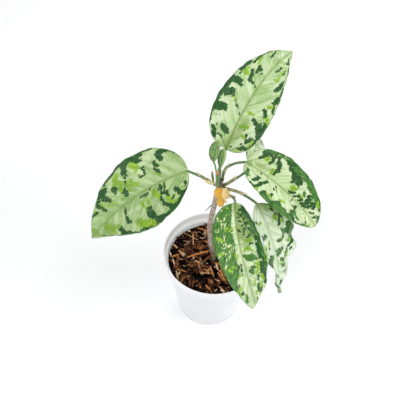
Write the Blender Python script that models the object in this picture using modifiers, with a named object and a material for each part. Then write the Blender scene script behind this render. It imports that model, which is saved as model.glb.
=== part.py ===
"""A small aglaonema with camouflage-patterned leaves, standing in a white plastic nursery pot.

Metres, +Z up.  The origin is the middle of the pot's flat bottom, and the camera side is -Y.
"""
import random
from math import atan2, cos, copysign, hypot, pi, radians, sin
from typing import NamedTuple

import bmesh
import bpy
from mathutils import Euler, Matrix, Vector

MM = 0.001

# Pot: a tapered nursery pot with a plain band under its lip
RIM_RADIUS = 55.0 * MM
POT_HEIGHT = 105.0 * MM
BAND_HEIGHT = 10.0 * MM
BAND_RADIUS = 54.5 * MM
WALL_TOP_RADIUS = 51.5 * MM
BASE_RADIUS = 35.0 * MM
WALL = 1.5 * MM
FLOOR = 2.0 * MM
LIP_WIDTH = 1.8 * MM
LIP_ROUND = 1.1 * MM
POT_EDGE = 0.5 * MM
POT_STEPS = 40
DRAIN_HOLES = 6
DRAIN_RADIUS = 3.0 * MM
DRAIN_RING = 22.0 * MM

# Gap between neighbours that touch
GAP = 0.3 * MM

# Potting mix: chopped bark, filled to just under the band
BARK_TOP = 92.5 * MM
BARK_CLEARANCE = 0.45 * MM
CHIP_COUNT = 84
CHIP_LENGTH = (8.0 * MM, 19.0 * MM)
CHIP_WIDTH = (2.8 * MM, 5.0 * MM)
CHIP_THICKNESS = (2.2 * MM, 3.2 * MM)
CHIP_TILT = radians(16)
CHIP_LIFT = (-0.2, 0.25)
CHIP_TO_TRUNK = 4.5 * MM
CHIP_SEED = 11

# Trunk: bare, ringed with leaf scars, leaning back a little
TRUNK_POINTS = (
    (2.0, -0.6, 56.0), (2.0, -0.6, 76.0), (1.4, 0.4, 95.0), (-3.2, 3.6, 116.0),
    (-5.5, 6.3, 137.0), (-4.9, 9.4, 158.0), (-3.1, 12.0, 175.0), (-1.2, 14.3, 192.0),
    (0.0, 15.8, 202.0), (0.9, 16.8, 211.0),
)
TRUNK_RADIUS = 2.5 * MM
CROWN_RADIUS = 3.1 * MM
SCAR_SPACING = 9.0 * MM
SCAR_SWELL = 0.10
TRUNK_SLEEVE = 0.7 * MM
TRUNK_SAMPLES = 45

BLADE_THICKNESS = 0.8 * MM
BLADE_ROWS = 22
BLADE_COLUMNS = 6
SHEATH_THICKNESS = 0.6 * MM
PETIOLE_RADIUS = 1.25 * MM
PETIOLE_FOOT_RADIUS = 1.5 * MM
PETIOLE_SAMPLES = 10

# Blade outline: the shares of its length where it closes, and the right margin's shift of waves
BLADE_ENDS = (0.0015, 0.9985)
WAVE_SHIFT = 2.1

# Sheath: half of the turn that it takes round its petiole, at its foot and at its free tip
SHEATH_TURN = (100.0, 38.0)
SHEATH_GRID = 6


class Leaf(NamedTuple):
    """One leaf.  Lengths are in millimetres and angles in degrees; left is seen from its base."""

    name: str
    base: tuple          # where the blade meets its petiole
    heading: float       # compass direction of the blade's start, from +X towards +Y
    rise: float          # slope of the blade's start
    roll: float          # tilt of the blade about its own midrib
    length: float
    half_width: float
    bend: float          # sideways turn from base to tip
    droop: float         # downward turn from base to tip
    fold: float          # each half rises this much from the midrib
    twist: float         # change of roll from base to tip
    base_curve: float    # exponents of the outline: small is blunt
    tip_curve: float
    lopsided: float      # share by which the left half is wider
    skew: float          # share by which the left half is widest nearer the tip
    lobes: tuple         # how far the left and right margins reach back past the base
    wave: float          # height of the waves along the margin
    waves: float         # how many from base to tip
    foot: tuple          # where the petiole leaves the crown
    elbow: tuple         # the point that pulls the petiole's arch
    sheath: tuple        # stretch of the petiole that the papery sheath wraps, as shares


LEAVES = (
    Leaf(
        "left", base=(-32.3, 15.7, 222), heading=192, rise=-21, roll=-6,
        length=130, half_width=40.3, bend=22, droop=30, fold=12, twist=-35,
        base_curve=0.51, tip_curve=1.03, lopsided=0.05, skew=0, lobes=(6.5, 2.2),
        wave=1.6, waves=4.5,
        foot=(-4, 16.4, 203.5), elbow=(-17, 17, 213), sheath=(0.34, 0.76),
    ),
    Leaf(
        "back", base=(3.4, 28.4, 245), heading=64, rise=52, roll=13,
        length=136, half_width=30, bend=-7, droop=68, fold=17, twist=14,
        base_curve=0.45, tip_curve=1.03, lopsided=0.02, skew=0, lobes=(-3, 4.4),
        wave=1.2, waves=4,
        foot=(-1.0, 16.4, 211.8), elbow=(-2.1, 21.6, 227.6), sheath=(0.14, 0.48),
    ),
    Leaf(
        "right", base=(24.2, 22.5, 235), heading=-26, rise=-11, roll=11,
        length=102, half_width=27.2, bend=9, droop=45, fold=25, twist=30,
        base_curve=0.41, tip_curve=0.7, lopsided=0.04, skew=0, lobes=(2.5, 0.6),
        wave=1, waves=4,
        foot=(3.0, 17.4, 211.8), elbow=(1.1, 22, 232), sheath=(0.28, 0.62),
    ),
    Leaf(
        "front", base=(16.0, -24.8, 228), heading=-88, rise=-11, roll=18,
        length=113, half_width=23.8, bend=51, droop=68, fold=17, twist=-34,
        base_curve=0.51, tip_curve=0.65, lopsided=-0.08, skew=0.1, lobes=(2.7, -1),
        wave=1.2, waves=4,
        foot=(3.0, 12.4, 196.5), elbow=(18.4, 12.4, 192.4), sheath=(0.50, 0.68),
    ),
    Leaf(
        "front_right", base=(38.2, -7.7, 209), heading=-53, rise=-31, roll=-24,
        length=106, half_width=35.4, bend=-5, droop=51, fold=15, twist=-27,
        base_curve=0.66, tip_curve=0.87, lopsided=0.04, skew=0.1, lobes=(1.9, 1),
        wave=3, waves=3.5,
        foot=(3.4, 14.5, 200.8), elbow=(22, 12, 203), sheath=(0.18, 0.7),
    ),
    Leaf(
        "small", base=(31.8, 35.3, 215), heading=74, rise=14, roll=4,
        length=48, half_width=10.2, bend=40, droop=20, fold=12, twist=2,
        base_curve=0.5, tip_curve=0.94, lopsided=0, skew=0.08, lobes=(1.6, 2),
        wave=0.6, waves=3,
        foot=(2.8, 18.4, 199.6), elbow=(18.4, 22.8, 206.6), sheath=(0.12, 0.52),
    ),
)


class Bud(NamedTuple):
    """A closed rounded body about a straight axis.  Lengths are in millimetres."""

    start: tuple
    end: tuple
    half_width: float
    half_depth: float


class Spathe(NamedTuple):
    """A closed spathe on its short stalk.  Lengths are in millimetres."""

    name: str
    stalk: tuple
    bulge: tuple         # the point that its axis bends through
    tip: tuple
    half_width: float
    half_depth: float


# Flowers: a short green stalk with two closed spathes, and a dried collar between them
FLOWER_STALK = ((-1.9, 11.6, 208.6), (-2.4, 12.4, 216.0), (-2.8, 13.7, 223.0))
FLOWER_STALK_RADIUS = 2.0 * MM
COLLAR = Bud((-2.8, 12.4, 223.6), (-3.1, 12.4, 228.8), 1.2, 1.2)
SPATHES = (
    Spathe("left", stalk=((-3.8, 14.6, 223.5), (-6.0, 16.6, 233.0), (-8.2, 17.4, 238.4)),
           bulge=(-7.6, 21.4, 249.4), tip=(-4.6, 26.4, 257.8), half_width=5.2, half_depth=4.0),
    Spathe("right", stalk=((-1.8, 14.7, 223.5), (-0.9, 16.2, 227.0), (-0.6, 17.2, 230.2)),
           bulge=(0.2, 20.6, 242.5), tip=(1.7, 23.0, 251.0), half_width=3.8, half_depth=3.0),
)
PEDUNCLE_RADIUS = 0.85 * MM
SPATHE_SEAT = 1.2 * MM

# Direction that the flowers face: up and to the front
FACING = Vector((0.0, -0.6, 0.8))

# Withered flower that hangs from the front of the crown
WITHERED_DOME = Bud((-0.6, 7.0, 209.0), (1.6, 7.2, 194.5), 5.2, 4.3)
WITHERED_CUP = Bud((2.4, 4.6, 198.0), (3.6, 1.8, 186.2), 4.0, 3.2)
WITHERED_BEAK = Bud((3.6, 3.6, 192.8), (10.2, 3.4, 193.6), 1.3, 1.0)
SPADIX = Bud((5.2, 9.1, 207.4), (8.2, 2.8, 198.6), 3.8, 3.8)
BEAD_RADIUS = 1.3 * MM
BEAD_ROWS = 5
BEAD_SEED = 5

# A dried bract with a green point, beside the crown
BRACT_BODY = Bud((-4.4, 12.0, 210.0), (-13.4, 12.0, 212.6), 1.9, 0.9)
BRACT_POINT = Bud((-6.0, 12.0, 210.6), (-8.6, 19.6, 220.6), 1.2, 0.8)

# A thin root in the air
AERIAL_ROOT = ((-7.0, 12.4, 172.3), (-9.2, 11.6, 169.0), (-11.6, 9.4, 167.0))
AERIAL_ROOT_RADIUS = 0.55 * MM


def clear_scene():
    for item in list(bpy.data.objects):
        bpy.data.objects.remove(item, do_unlink=True)


def collection(name):
    made = bpy.data.collections.new(name)
    bpy.context.scene.collection.children.link(made)
    return made


def material(name, colour, roughness=0.5, metallic=0.0):
    made = bpy.data.materials.get(name)
    if made is None:
        made = bpy.data.materials.new(name)
        made.use_nodes = True
        shader = made.node_tree.nodes["Principled BSDF"]
        shader.inputs["Base Color"].default_value = (*colour, 1.0)
        shader.inputs["Roughness"].default_value = roughness
        shader.inputs["Metallic"].default_value = metallic
    return made


def put(name, mesh, group, look=None):
    """A new object in a collection, with one material."""
    item = bpy.data.objects.new(name, mesh)
    group.objects.link(item)
    if look is not None:
        item.data.materials.clear()
        item.data.materials.append(look)
    return item


def mesh_from(name, bm):
    mesh = bpy.data.meshes.new(name)
    bm.to_mesh(mesh)
    bm.free()
    return mesh


def in_mm(points):
    return [Vector(point) * MM for point in points]


def smooth_path(points, samples):
    """Points on a smooth curve through the given ones."""
    ends = [points[0] * 2 - points[1], *points, points[-1] * 2 - points[-2]]
    path = []
    spans = len(points) - 1
    for index in range(samples + 1):
        place = min(index / samples * spans, spans - 1e-6)
        span = int(place)
        u = place - span
        a, b, c, d = ends[span:span + 4]
        path.append(0.5 * (2 * b + (c - a) * u + (2 * a - 5 * b + 4 * c - d) * u * u
                           + (3 * b - a - 3 * c + d) * u ** 3))
    return path


def arch(start, elbow, end, samples):
    """Points on the arch from start to end, pulled towards the elbow."""
    return [start * (1 - t) ** 2 + elbow * (2 * t * (1 - t)) + end * t * t
            for t in (index / samples for index in range(samples + 1))]


def tube(name, path, radii, group, look=None, fineness=2):
    """A round stalk along a path, with filled ends."""
    curve = bpy.data.curves.new(name, "CURVE")
    curve.dimensions = "3D"
    curve.bevel_depth = 1.0
    curve.bevel_resolution = fineness
    curve.use_fill_caps = True
    line = curve.splines.new("POLY")
    line.points.add(len(path) - 1)
    for point, place, radius in zip(line.points, path, radii):
        point.co = (*place, 1.0)
        point.radius = radius
    return put(name, curve, group, look)


def solid_from_curve(item, group, look=None):
    """The closed mesh of a curve object, which takes the curve's place."""
    seen = item.evaluated_get(bpy.context.evaluated_depsgraph_get())
    mesh = bpy.data.meshes.new_from_object(seen)
    bm = bmesh.new()
    bm.from_mesh(mesh)
    bmesh.ops.remove_doubles(bm, verts=bm.verts, dist=0.01 * MM)
    bm.to_mesh(mesh)
    bm.free()
    name, place = item.name, item.matrix_world.copy()
    bpy.data.objects.remove(item, do_unlink=True)
    solid = put(name, mesh, group, look)
    solid.matrix_world = place
    return solid


def boolean(item, kind, other, solver="EXACT"):
    """One Boolean modifier with an object or a collection."""
    cut = item.modifiers.new(kind.title(), "BOOLEAN")
    cut.operation = kind
    cut.solver = solver
    if isinstance(other, bpy.types.Collection):
        cut.operand_type = "COLLECTION"
        cut.collection = other
    else:
        cut.object = other
        other.hide_render = True
        other.display_type = "WIRE"
    return cut


def apply_modifiers(item):
    """The evaluated mesh takes the place of the object's own, without its modifiers."""
    bpy.context.view_layer.update()
    seen = item.evaluated_get(bpy.context.evaluated_depsgraph_get())
    mesh = bpy.data.meshes.new_from_object(seen)
    item.modifiers.clear()
    item.data = mesh


def fuse(item, pieces, solver="EXACT"):
    """Joins a collection's objects into the item, and removes them."""
    boolean(item, "UNION", pieces, solver)
    apply_modifiers(item)
    for piece in list(pieces.objects):
        bpy.data.objects.remove(piece, do_unlink=True)
    bpy.data.collections.remove(pieces)


def solidify(item, thickness):
    shell = item.modifiers.new("Thickness", "SOLIDIFY")
    shell.thickness = thickness
    shell.offset = 0.0
    shell.use_even_offset = False


def turned(name, profile, steps, group, look):
    """A shape turned about Z from a list of (radius, height) points."""
    bm = bmesh.new()
    points = [bm.verts.new((radius, 0.0, height)) for radius, height in profile]
    for first, second in zip(points, points[1:]):
        bm.edges.new((first, second))
    item = put(name, mesh_from(name, bm), group, look)
    screw = item.modifiers.new("Turn", "SCREW")
    screw.steps = steps
    screw.render_steps = steps
    screw.use_merge_vertices = True
    screw.merge_threshold = 0.00001
    return item


def wall_radius(height, inset=0.0):
    """Radius of the pot's outer wall at a height, less an inset."""
    share = height / (POT_HEIGHT - BAND_HEIGHT)
    return BASE_RADIUS + (WALL_TOP_RADIUS - BASE_RADIUS) * share - inset


def lip_profile():
    """The rounded top of the rim, from its inner side to its outer side."""
    half = LIP_WIDTH / 2
    steps = 4
    return [(RIM_RADIUS - half - half * cos(pi * step / steps),
             POT_HEIGHT - LIP_ROUND + LIP_ROUND * sin(pi * step / steps))
            for step in range(steps + 1)]


def pot(group, cutters):
    """A thin tapered cup with a thicker band, a rounded lip and drain holes."""
    band_foot = POT_HEIGHT - BAND_HEIGHT
    profile = (
        (0.0, FLOOR),
        (wall_radius(FLOOR, WALL) - POT_EDGE, FLOOR),
        (wall_radius(FLOOR + POT_EDGE, WALL), FLOOR + POT_EDGE),
        (wall_radius(band_foot, WALL), band_foot),
        *lip_profile(),
        (BAND_RADIUS, band_foot + POT_EDGE),
        (BAND_RADIUS - POT_EDGE, band_foot),
        (WALL_TOP_RADIUS + POT_EDGE, band_foot),
        (WALL_TOP_RADIUS, band_foot - POT_EDGE),
        (wall_radius(2 * POT_EDGE), 2 * POT_EDGE),
        (BASE_RADIUS - 2 * POT_EDGE, 0.0),
        (0.0, 0.0),
    )
    white = material("white_plastic", (0.80, 0.81, 0.83), 0.45)
    cup = turned("pot", profile, POT_STEPS, group, white)
    boolean(cup, "DIFFERENCE", drain_cutter(cutters))


def drain_cutter(cutters):
    """One cutter for the ring of drain holes."""
    bm = bmesh.new()
    for index in range(DRAIN_HOLES):
        angle = 2 * pi * index / DRAIN_HOLES
        place = Matrix.Translation((DRAIN_RING * cos(angle), DRAIN_RING * sin(angle), FLOOR / 2))
        bmesh.ops.create_cone(bm, cap_ends=True, segments=12, radius1=DRAIN_RADIUS,
                              radius2=DRAIN_RADIUS, depth=4 * FLOOR, matrix=place)
    return put("drain_cutter", mesh_from("drain_cutter", bm), cutters)


def potting_bark(group, cutters):
    """The pot's filling: a plug of mix with loose chips of bark sunk into its top."""
    clear = WALL + BARK_CLEARANCE
    profile = (
        (0.0, BARK_TOP),
        (wall_radius(BARK_TOP, clear), BARK_TOP),
        (wall_radius(FLOOR + 2 * POT_EDGE, clear), FLOOR + 2 * POT_EDGE),
        (wall_radius(FLOOR, clear) - 2 * POT_EDGE, FLOOR + GAP),
        (0.0, FLOOR + GAP),
    )
    brown = material("bark", (0.16, 0.075, 0.035), 0.9)
    mix = turned("potting_bark", profile, POT_STEPS, group, brown)
    apply_modifiers(mix)
    chips = collection("loose_chips")
    scatter_chips(chips)
    fuse(mix, chips, "MANIFOLD")
    buried = [place for place in smooth_path(in_mm(TRUNK_POINTS), TRUNK_SAMPLES)
              if place.z < POT_HEIGHT]
    buried.insert(0, buried[0] - Vector((0.0, 0.0, GAP)))
    radii = [TRUNK_RADIUS + TRUNK_SLEEVE] * len(buried)
    sleeve = tube("trunk_sleeve", buried, radii, cutters, fineness=3)
    boolean(mix, "DIFFERENCE", solid_from_curve(sleeve, cutters))


def scatter_chips(chips):
    """Bark chips thrown flat on the mix, clear of the pot's wall and of the trunk."""
    dice = random.Random(CHIP_SEED)
    trunk_foot = Vector(TRUNK_POINTS[2]) * MM
    laid = 0
    while laid < CHIP_COUNT:
        size = Vector((dice.uniform(*CHIP_LENGTH), dice.uniform(*CHIP_WIDTH),
                       dice.uniform(*CHIP_THICKNESS)))
        half = hypot(size.x, size.y) / 2
        reach = wall_radius(BARK_TOP, WALL + 3 * GAP) - half
        angle = dice.uniform(0, 2 * pi)
        out = reach * dice.random() ** 0.5
        lift = dice.uniform(*CHIP_LIFT)
        turn = Euler((dice.uniform(-CHIP_TILT, CHIP_TILT), dice.uniform(-CHIP_TILT, CHIP_TILT) * 0.5,
                      dice.uniform(0, pi)))
        place = Vector((out * cos(angle), out * sin(angle), BARK_TOP + lift * size.z))
        if hypot(place.x - trunk_foot.x, place.y - trunk_foot.y) < half + CHIP_TO_TRUNK:
            continue
        bm = bmesh.new()
        bmesh.ops.create_cube(bm, size=1.0)
        for corner in bm.verts:
            corner.co.x += dice.uniform(-0.10, 0.10)
            corner.co.y *= dice.uniform(0.55, 1.0)
        bmesh.ops.triangulate(bm, faces=bm.faces)
        bmesh.ops.transform(bm, verts=bm.verts,
                            matrix=Matrix.Translation(place) @ turn.to_matrix().to_4x4()
                            @ Matrix.Diagonal((*size, 1.0)))
        put(f"chip_{laid}", mesh_from("chip", bm), chips)
        laid += 1


def trunk(group):
    """The bare stem, from its foot in the mix to the crown, with a swelling at each leaf scar."""
    path = smooth_path(in_mm(TRUNK_POINTS), TRUNK_SAMPLES)
    radii = []
    walked = 0.0
    for index, place in enumerate(path):
        if index:
            walked += (place - path[index - 1]).length
        share = index / (len(path) - 1)
        radius = TRUNK_RADIUS + (CROWN_RADIUS - TRUNK_RADIUS) * max(0.0, share * 2 - 1)
        ring = 0.5 + 0.5 * cos(2 * pi * walked / SCAR_SPACING)
        radii.append(radius * (1 + SCAR_SWELL * ring ** 6))
    tube("trunk", path, radii, group, material("bare_stem", (0.36, 0.27, 0.20), 0.75))


def spaced(rows):
    """Shares from 0 to 1, closer together near both ends."""
    return [0.5 * (row / rows) + 0.25 * (1 - cos(pi * row / rows)) for row in range(rows + 1)]


def midrib(leaf, rows):
    """Stations along a leaf's midrib: share of its length, point, and three directions."""
    stations = []
    point = Vector(leaf.base) * MM
    for t in spaced(rows):
        heading = radians(leaf.heading + leaf.bend * t)
        pitch = radians(leaf.rise - leaf.droop * t)
        along = Vector((cos(pitch) * cos(heading), cos(pitch) * sin(heading), sin(pitch)))
        level = Vector((-sin(heading), cos(heading), 0.0))
        turn = radians(leaf.roll + leaf.twist * t)
        across = cos(turn) * level + sin(turn) * along.cross(level)
        if stations:
            before = stations[-1]
            point = point + (along + before[2]) * (0.5 * leaf.length * MM * (t - before[0]))
        stations.append((t, point.copy(), along, across, along.cross(across)))
    return stations


def blade_point(leaf, station, side):
    """A point of the blade: side runs from -1 at the right margin to 1 at the left."""
    t, centre, along, across, above = station
    hand = copysign(1.0, side)
    base_curve = leaf.base_curve * (1 + leaf.skew * hand)
    tip_curve = leaf.tip_curve * (1 - leaf.skew * hand)
    widest = base_curve / (base_curve + tip_curve)
    inner = min(max(t, BLADE_ENDS[0]), BLADE_ENDS[1])
    spread = (inner / widest) ** base_curve * ((1 - inner) / (1 - widest)) ** tip_curve
    reach = leaf.half_width * MM * spread * (1 + leaf.lopsided * hand) * side
    fold = radians(leaf.fold)
    shift = WAVE_SHIFT if side < 0 else 0.0
    ripple = sin(2 * pi * leaf.waves * t + shift) * side * side * sin(pi * t) ** 0.5
    height = abs(reach) * sin(fold) + leaf.wave * MM * ripple
    lobe = leaf.lobes[0] if side > 0 else leaf.lobes[1]
    back = lobe * MM * side * side * spread * (1 - t) ** 6
    return centre + across * (reach * cos(fold)) + above * height - along * back


def blade(leaf, group):
    """A folded, arching, waved leaf blade of even thickness."""
    stations = midrib(leaf, BLADE_ROWS)
    bm = bmesh.new()
    bmesh.ops.create_grid(bm, x_segments=BLADE_ROWS, y_segments=BLADE_COLUMNS, size=1.0)
    for corner in bm.verts:
        row = round((corner.co.x + 1) / 2 * BLADE_ROWS)
        corner.co = blade_point(leaf, stations[row], corner.co.y)
    bmesh.ops.triangulate(bm, faces=bm.faces)
    green = material(f"leaf_{leaf.name}", (0.32, 0.50, 0.24), 0.4)
    item = put(f"leaf_{leaf.name}_blade", mesh_from("blade", bm), group, green)
    solidify(item, BLADE_THICKNESS)


def petiole_path(leaf, samples):
    foot, elbow, base = in_mm((leaf.foot, leaf.elbow, leaf.base))
    path = arch(foot, elbow, base, samples)
    last = (path[-1] - path[-2]).normalized()
    path[-1] = path[-1] - last * (GAP + 0.5 * BLADE_THICKNESS)
    return path


def petiole_radius(share):
    return PETIOLE_RADIUS + (PETIOLE_FOOT_RADIUS - PETIOLE_RADIUS) * max(0.0, 1 - share * 2.5)


def petiole(leaf, group):
    """The leaf's stalk, thicker where it clasps the crown."""
    radii = [petiole_radius(index / PETIOLE_SAMPLES) for index in range(PETIOLE_SAMPLES + 1)]
    tube(f"leaf_{leaf.name}_petiole", petiole_path(leaf, PETIOLE_SAMPLES), radii, group,
         material("petiole", (0.09, 0.20, 0.08), 0.45))


def sheath(leaf, group):
    """The papery gutter on the upper side of a petiole, narrowing to a free tip."""
    first, last = leaf.sheath
    fine = 60
    path = petiole_path(leaf, fine)
    wide, narrow = SHEATH_TURN
    bm = bmesh.new()
    bmesh.ops.create_grid(bm, x_segments=SHEATH_GRID, y_segments=SHEATH_GRID, size=1.0)
    for corner in bm.verts:
        u = (corner.co.x + 1) / 2
        share = first + (last - first) * u
        index = min(max(round(share * fine), 1), fine - 1)
        along = (path[index + 1] - path[index - 1]).normalized()
        level = along.cross(Vector((0.0, 0.0, 1.0))).normalized()
        above = level.cross(along)
        spread = radians(wide + (narrow - wide) * u * u)
        radius = petiole_radius(share) + GAP + SHEATH_THICKNESS * (0.6 + 0.9 * u * u)
        angle = corner.co.y * spread
        corner.co = path[index] + level * (radius * sin(angle)) + above * (radius * cos(angle))
    bmesh.ops.triangulate(bm, faces=bm.faces)
    item = put(f"leaf_{leaf.name}_sheath", mesh_from("sheath", bm), group,
               material("dry_sheath", (0.45, 0.38, 0.24), 0.7))
    solidify(item, SHEATH_THICKNESS)


def directions(along):
    """Two directions square to an axis: across it, and out to the side that faces FACING."""
    across = along.cross(FACING).normalized()
    return across, across.cross(along)


def rounded_body(name, axis, half_width, half_depth, group, look=None, segments=10, rings=8, blunt=0.5):
    """A closed rounded body along an axis, flattened in the direction it faces."""
    bm = bmesh.new()
    bmesh.ops.create_uvsphere(bm, u_segments=segments, v_segments=rings, radius=1.0)
    spans = len(axis) - 1
    for corner in bm.verts:
        t = (1 - corner.co.z) / 2
        angle = atan2(corner.co.y, corner.co.x)
        index = min(round(t * spans), spans)
        before, after = axis[max(index - 1, 0)], axis[min(index + 1, spans)]
        across, out = directions((after - before).normalized())
        swell = max(0.0, 4 * t * (1 - t)) ** blunt
        corner.co = (axis[index] + across * (half_width * swell * cos(angle))
                     + out * (half_depth * swell * sin(angle)))
    return put(name, mesh_from(name, bm), group, look)


def bud(name, shape, group, look=None, segments=10, rings=8, blunt=0.5, margin=0.0):
    """A rounded body about a straight axis, grown by a margin on every side."""
    first, last = in_mm((shape.start, shape.end))
    beyond = (last - first).normalized() * margin
    steps = 16
    axis = [(first - beyond).lerp(last + beyond, (1 - cos(pi * step / steps)) / 2)
            for step in range(steps + 1)]
    return rounded_body(name, axis, shape.half_width * MM + margin, shape.half_depth * MM + margin,
                        group, look, segments, rings, blunt)


def flower_stalk(group):
    path = smooth_path(in_mm(FLOWER_STALK), 8)
    green = material("flower_stalk", (0.20, 0.36, 0.16), 0.5)
    tube("flower_stalk", path, [FLOWER_STALK_RADIUS] * len(path), group, green)


def collar(group):
    bud("dry_collar", COLLAR, group, material("dry_collar", (0.55, 0.26, 0.10), 0.7), 8, 6)


def spathe(shape, group):
    """A closed spathe on its own short stalk, grown as one piece."""
    green = material("spathe", (0.23, 0.37, 0.15), 0.45)
    path = smooth_path(in_mm(shape.stalk), 6)
    stalk = tube(f"spathe_{shape.name}", path, [PEDUNCLE_RADIUS] * len(path), group, green)
    item = solid_from_curve(stalk, group, green)
    middle, end = in_mm((shape.bulge, shape.tip))
    start = path[-1] - (path[-1] - path[-2]).normalized() * SPATHE_SEAT
    rings = 10
    axis = arch(start, 2 * middle - (start + end) / 2, end, rings)
    body = collection("spathe_body")
    rounded_body("body", axis, shape.half_width * MM, shape.half_depth * MM, body, None, 12, rings, 0.62)
    fuse(item, body)


def withered_flower(group, cutters):
    """A dried spathe that cups a spadix set with round beads, hung on the front of the crown."""
    tan = material("withered_spathe", (0.72, 0.38, 0.07), 0.5)
    hood = bud("withered_spathe", WITHERED_DOME, group, tan, 14, 10)
    rest = collection("withered_rest")
    bud("cup", WITHERED_CUP, rest, None, 12, 8)
    bud("beak", WITHERED_BEAK, rest, None, 8, 6)
    fuse(hood, rest)
    room = bud("spadix_room", SPADIX, cutters, None, 20, 14, margin=BEAD_RADIUS + 2 * GAP)
    boolean(hood, "DIFFERENCE", room)
    yellow = material("withered_spadix", (0.80, 0.55, 0.16), 0.4)
    spadix = bud("withered_spadix", SPADIX, group, yellow, 12, 8)
    beads = collection("beads")
    string_beads(beads)
    fuse(spadix, beads)


def string_beads(beads):
    """Round beads in staggered rows over the spadix."""
    dice = random.Random(BEAD_SEED)
    first, last = in_mm((SPADIX.start, SPADIX.end))
    across, out = directions((last - first).normalized())
    count = 0
    for row in range(BEAD_ROWS):
        t = (row + 0.5) / BEAD_ROWS
        ring = SPADIX.half_width * MM * (4 * t * (1 - t)) ** 0.5
        around = max(3, round(2 * pi * ring / (2.1 * BEAD_RADIUS)))
        for index in range(around):
            angle = 2 * pi * (index + 0.5 * (row % 2)) / around + dice.uniform(-0.1, 0.1)
            centre = first.lerp(last, t) + across * (ring * cos(angle)) + out * (ring * sin(angle))
            turn = Euler((count, count * 2.0, 0)).to_matrix().to_4x4()
            bm = bmesh.new()
            bmesh.ops.create_icosphere(bm, subdivisions=1, radius=BEAD_RADIUS * dice.uniform(0.8, 1.0),
                                       matrix=Matrix.Translation(centre) @ turn)
            put(f"bead_{count}", mesh_from("bead", bm), beads)
            count += 1


def dried_bract(group):
    """A limp dried bract, with a green point that rises from its foot."""
    cream = material("dry_bract", (0.70, 0.62, 0.35), 0.6)
    item = bud("dry_bract", BRACT_BODY, group, cream, 8, 8, blunt=0.35)
    point = collection("bract_point")
    bud("point", BRACT_POINT, point, None, 8, 6)
    fuse(item, point)


def aerial_root(group):
    samples = 6
    path = smooth_path(in_mm(AERIAL_ROOT), samples)
    radii = [AERIAL_ROOT_RADIUS * (1 - 0.4 * index / samples) for index in range(samples + 1)]
    dark = material("aerial_root", (0.05, 0.05, 0.06), 0.8)
    tube("aerial_root", path, radii, group, dark, fineness=1)


def main():
    clear_scene()
    plant = collection("potted_aglaonema")
    cutters = collection("cutters")
    pot(plant, cutters)
    potting_bark(plant, cutters)
    trunk(plant)
    aerial_root(plant)
    for leaf in LEAVES:
        blade(leaf, plant)
        petiole(leaf, plant)
        sheath(leaf, plant)
    flower_stalk(plant)
    collar(plant)
    for shape in SPATHES:
        spathe(shape, plant)
    withered_flower(plant, cutters)
    dried_bract(plant)


if __name__ == "__main__":
    main()
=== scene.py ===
"""The looks of a potted aglaonema: camouflage-patterned leaves, bare cane, flowers, bark and nursery pot.

Tables are in millimetres and degrees, and everything made from them is in metres.  A place on a blade is
(t, s): t runs from the base, 0, to the tip, 1, and s from the right margin, -1, over the midrib, 0, to the
left margin, 1.
"""

import random
from math import copysign, cos, pi, radians, sin
from typing import NamedTuple

import bmesh
import bpy
import numpy as np
from mathutils import Euler, Matrix, Vector, noise


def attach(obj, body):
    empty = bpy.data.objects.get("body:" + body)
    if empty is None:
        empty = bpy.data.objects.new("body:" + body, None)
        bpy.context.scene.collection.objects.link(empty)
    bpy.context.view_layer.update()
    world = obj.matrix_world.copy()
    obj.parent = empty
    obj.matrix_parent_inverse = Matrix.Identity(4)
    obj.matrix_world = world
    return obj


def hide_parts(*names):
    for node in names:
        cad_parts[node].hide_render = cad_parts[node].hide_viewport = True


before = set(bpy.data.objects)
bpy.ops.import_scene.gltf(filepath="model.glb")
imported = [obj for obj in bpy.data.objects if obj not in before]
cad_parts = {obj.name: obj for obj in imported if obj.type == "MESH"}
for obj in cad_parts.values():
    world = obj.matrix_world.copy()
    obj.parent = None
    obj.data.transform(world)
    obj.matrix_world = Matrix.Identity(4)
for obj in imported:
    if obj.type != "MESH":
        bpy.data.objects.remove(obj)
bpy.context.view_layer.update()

MM = 0.001
UP = (0.0, 0.0, 1.0)
SIDEWAYS = (1.0, 0.0, 0.0)
POLE_RADIUS = 0.5            # of the first and last ring of a turned shape

# Pot
RIM_RADIUS = 55.0
POT_HEIGHT = 105.0
BAND_HEIGHT = 10.0
BAND_RADIUS = 54.5
WALL_TOP_RADIUS = 51.5
BASE_RADIUS = 35.0
WALL = 1.5
FLOOR = 2.0
FOOT_RING = 0.7
LIP_WIDTH = 1.8
LIP_ROUND = 1.1
LIP_STEPS = 13
POT_EDGE = 0.5
POT_STEPS = 128
DRAIN_HOLES = 6
DRAIN_RADIUS = 3.0
DRAIN_RING = 22.0

# Bark
BARK_TOP = 92.5
BARK_CLEAR = WALL + 0.45     # from the pot's outer face
BARK_REACH = 49.5
BARK_FLOOR = 84.0            # no strip reaches lower
BARK_SEED = 21
PLUG_TOP = BARK_TOP - 3.0    # of the dark mix under the strips, painted near black as shade in the gaps
PLUG_REACH = 48.6
PLUG_STEP = 1.5
LUMPS = 0.45                 # to the millimetre
LUMP_HEIGHT = 1.6
HOLLOW = (-15.0, -24.0)
HOLLOW_RADIUS = 5.5
TRUNK_FOOT = (1.4, 0.0)
TRUNK_CLEAR = 2.2

# Trunk
TRUNK_POINTS = (
    (2.0, -0.6, 56.0), (2.0, -0.6, 76.0), (1.4, 0.4, 95.0), (-3.2, 3.6, 116.0),
    (-5.5, 6.3, 137.0), (-4.9, 9.4, 158.0), (-3.1, 12.0, 175.0), (-1.2, 14.3, 192.0),
    (0.0, 15.8, 202.0), (0.9, 16.8, 211.0),
)
TRUNK_RADIUS = 2.5
CROWN_RADIUS = 3.1
SCAR_SPACING = 9.0
AERIAL_ROOT = ((-4.6, 12.4, 174.4), (-7.0, 12.4, 172.3), (-9.2, 11.6, 169.0), (-11.6, 9.4, 167.0))
AERIAL_ROOT_RADIUS = 0.55

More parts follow.
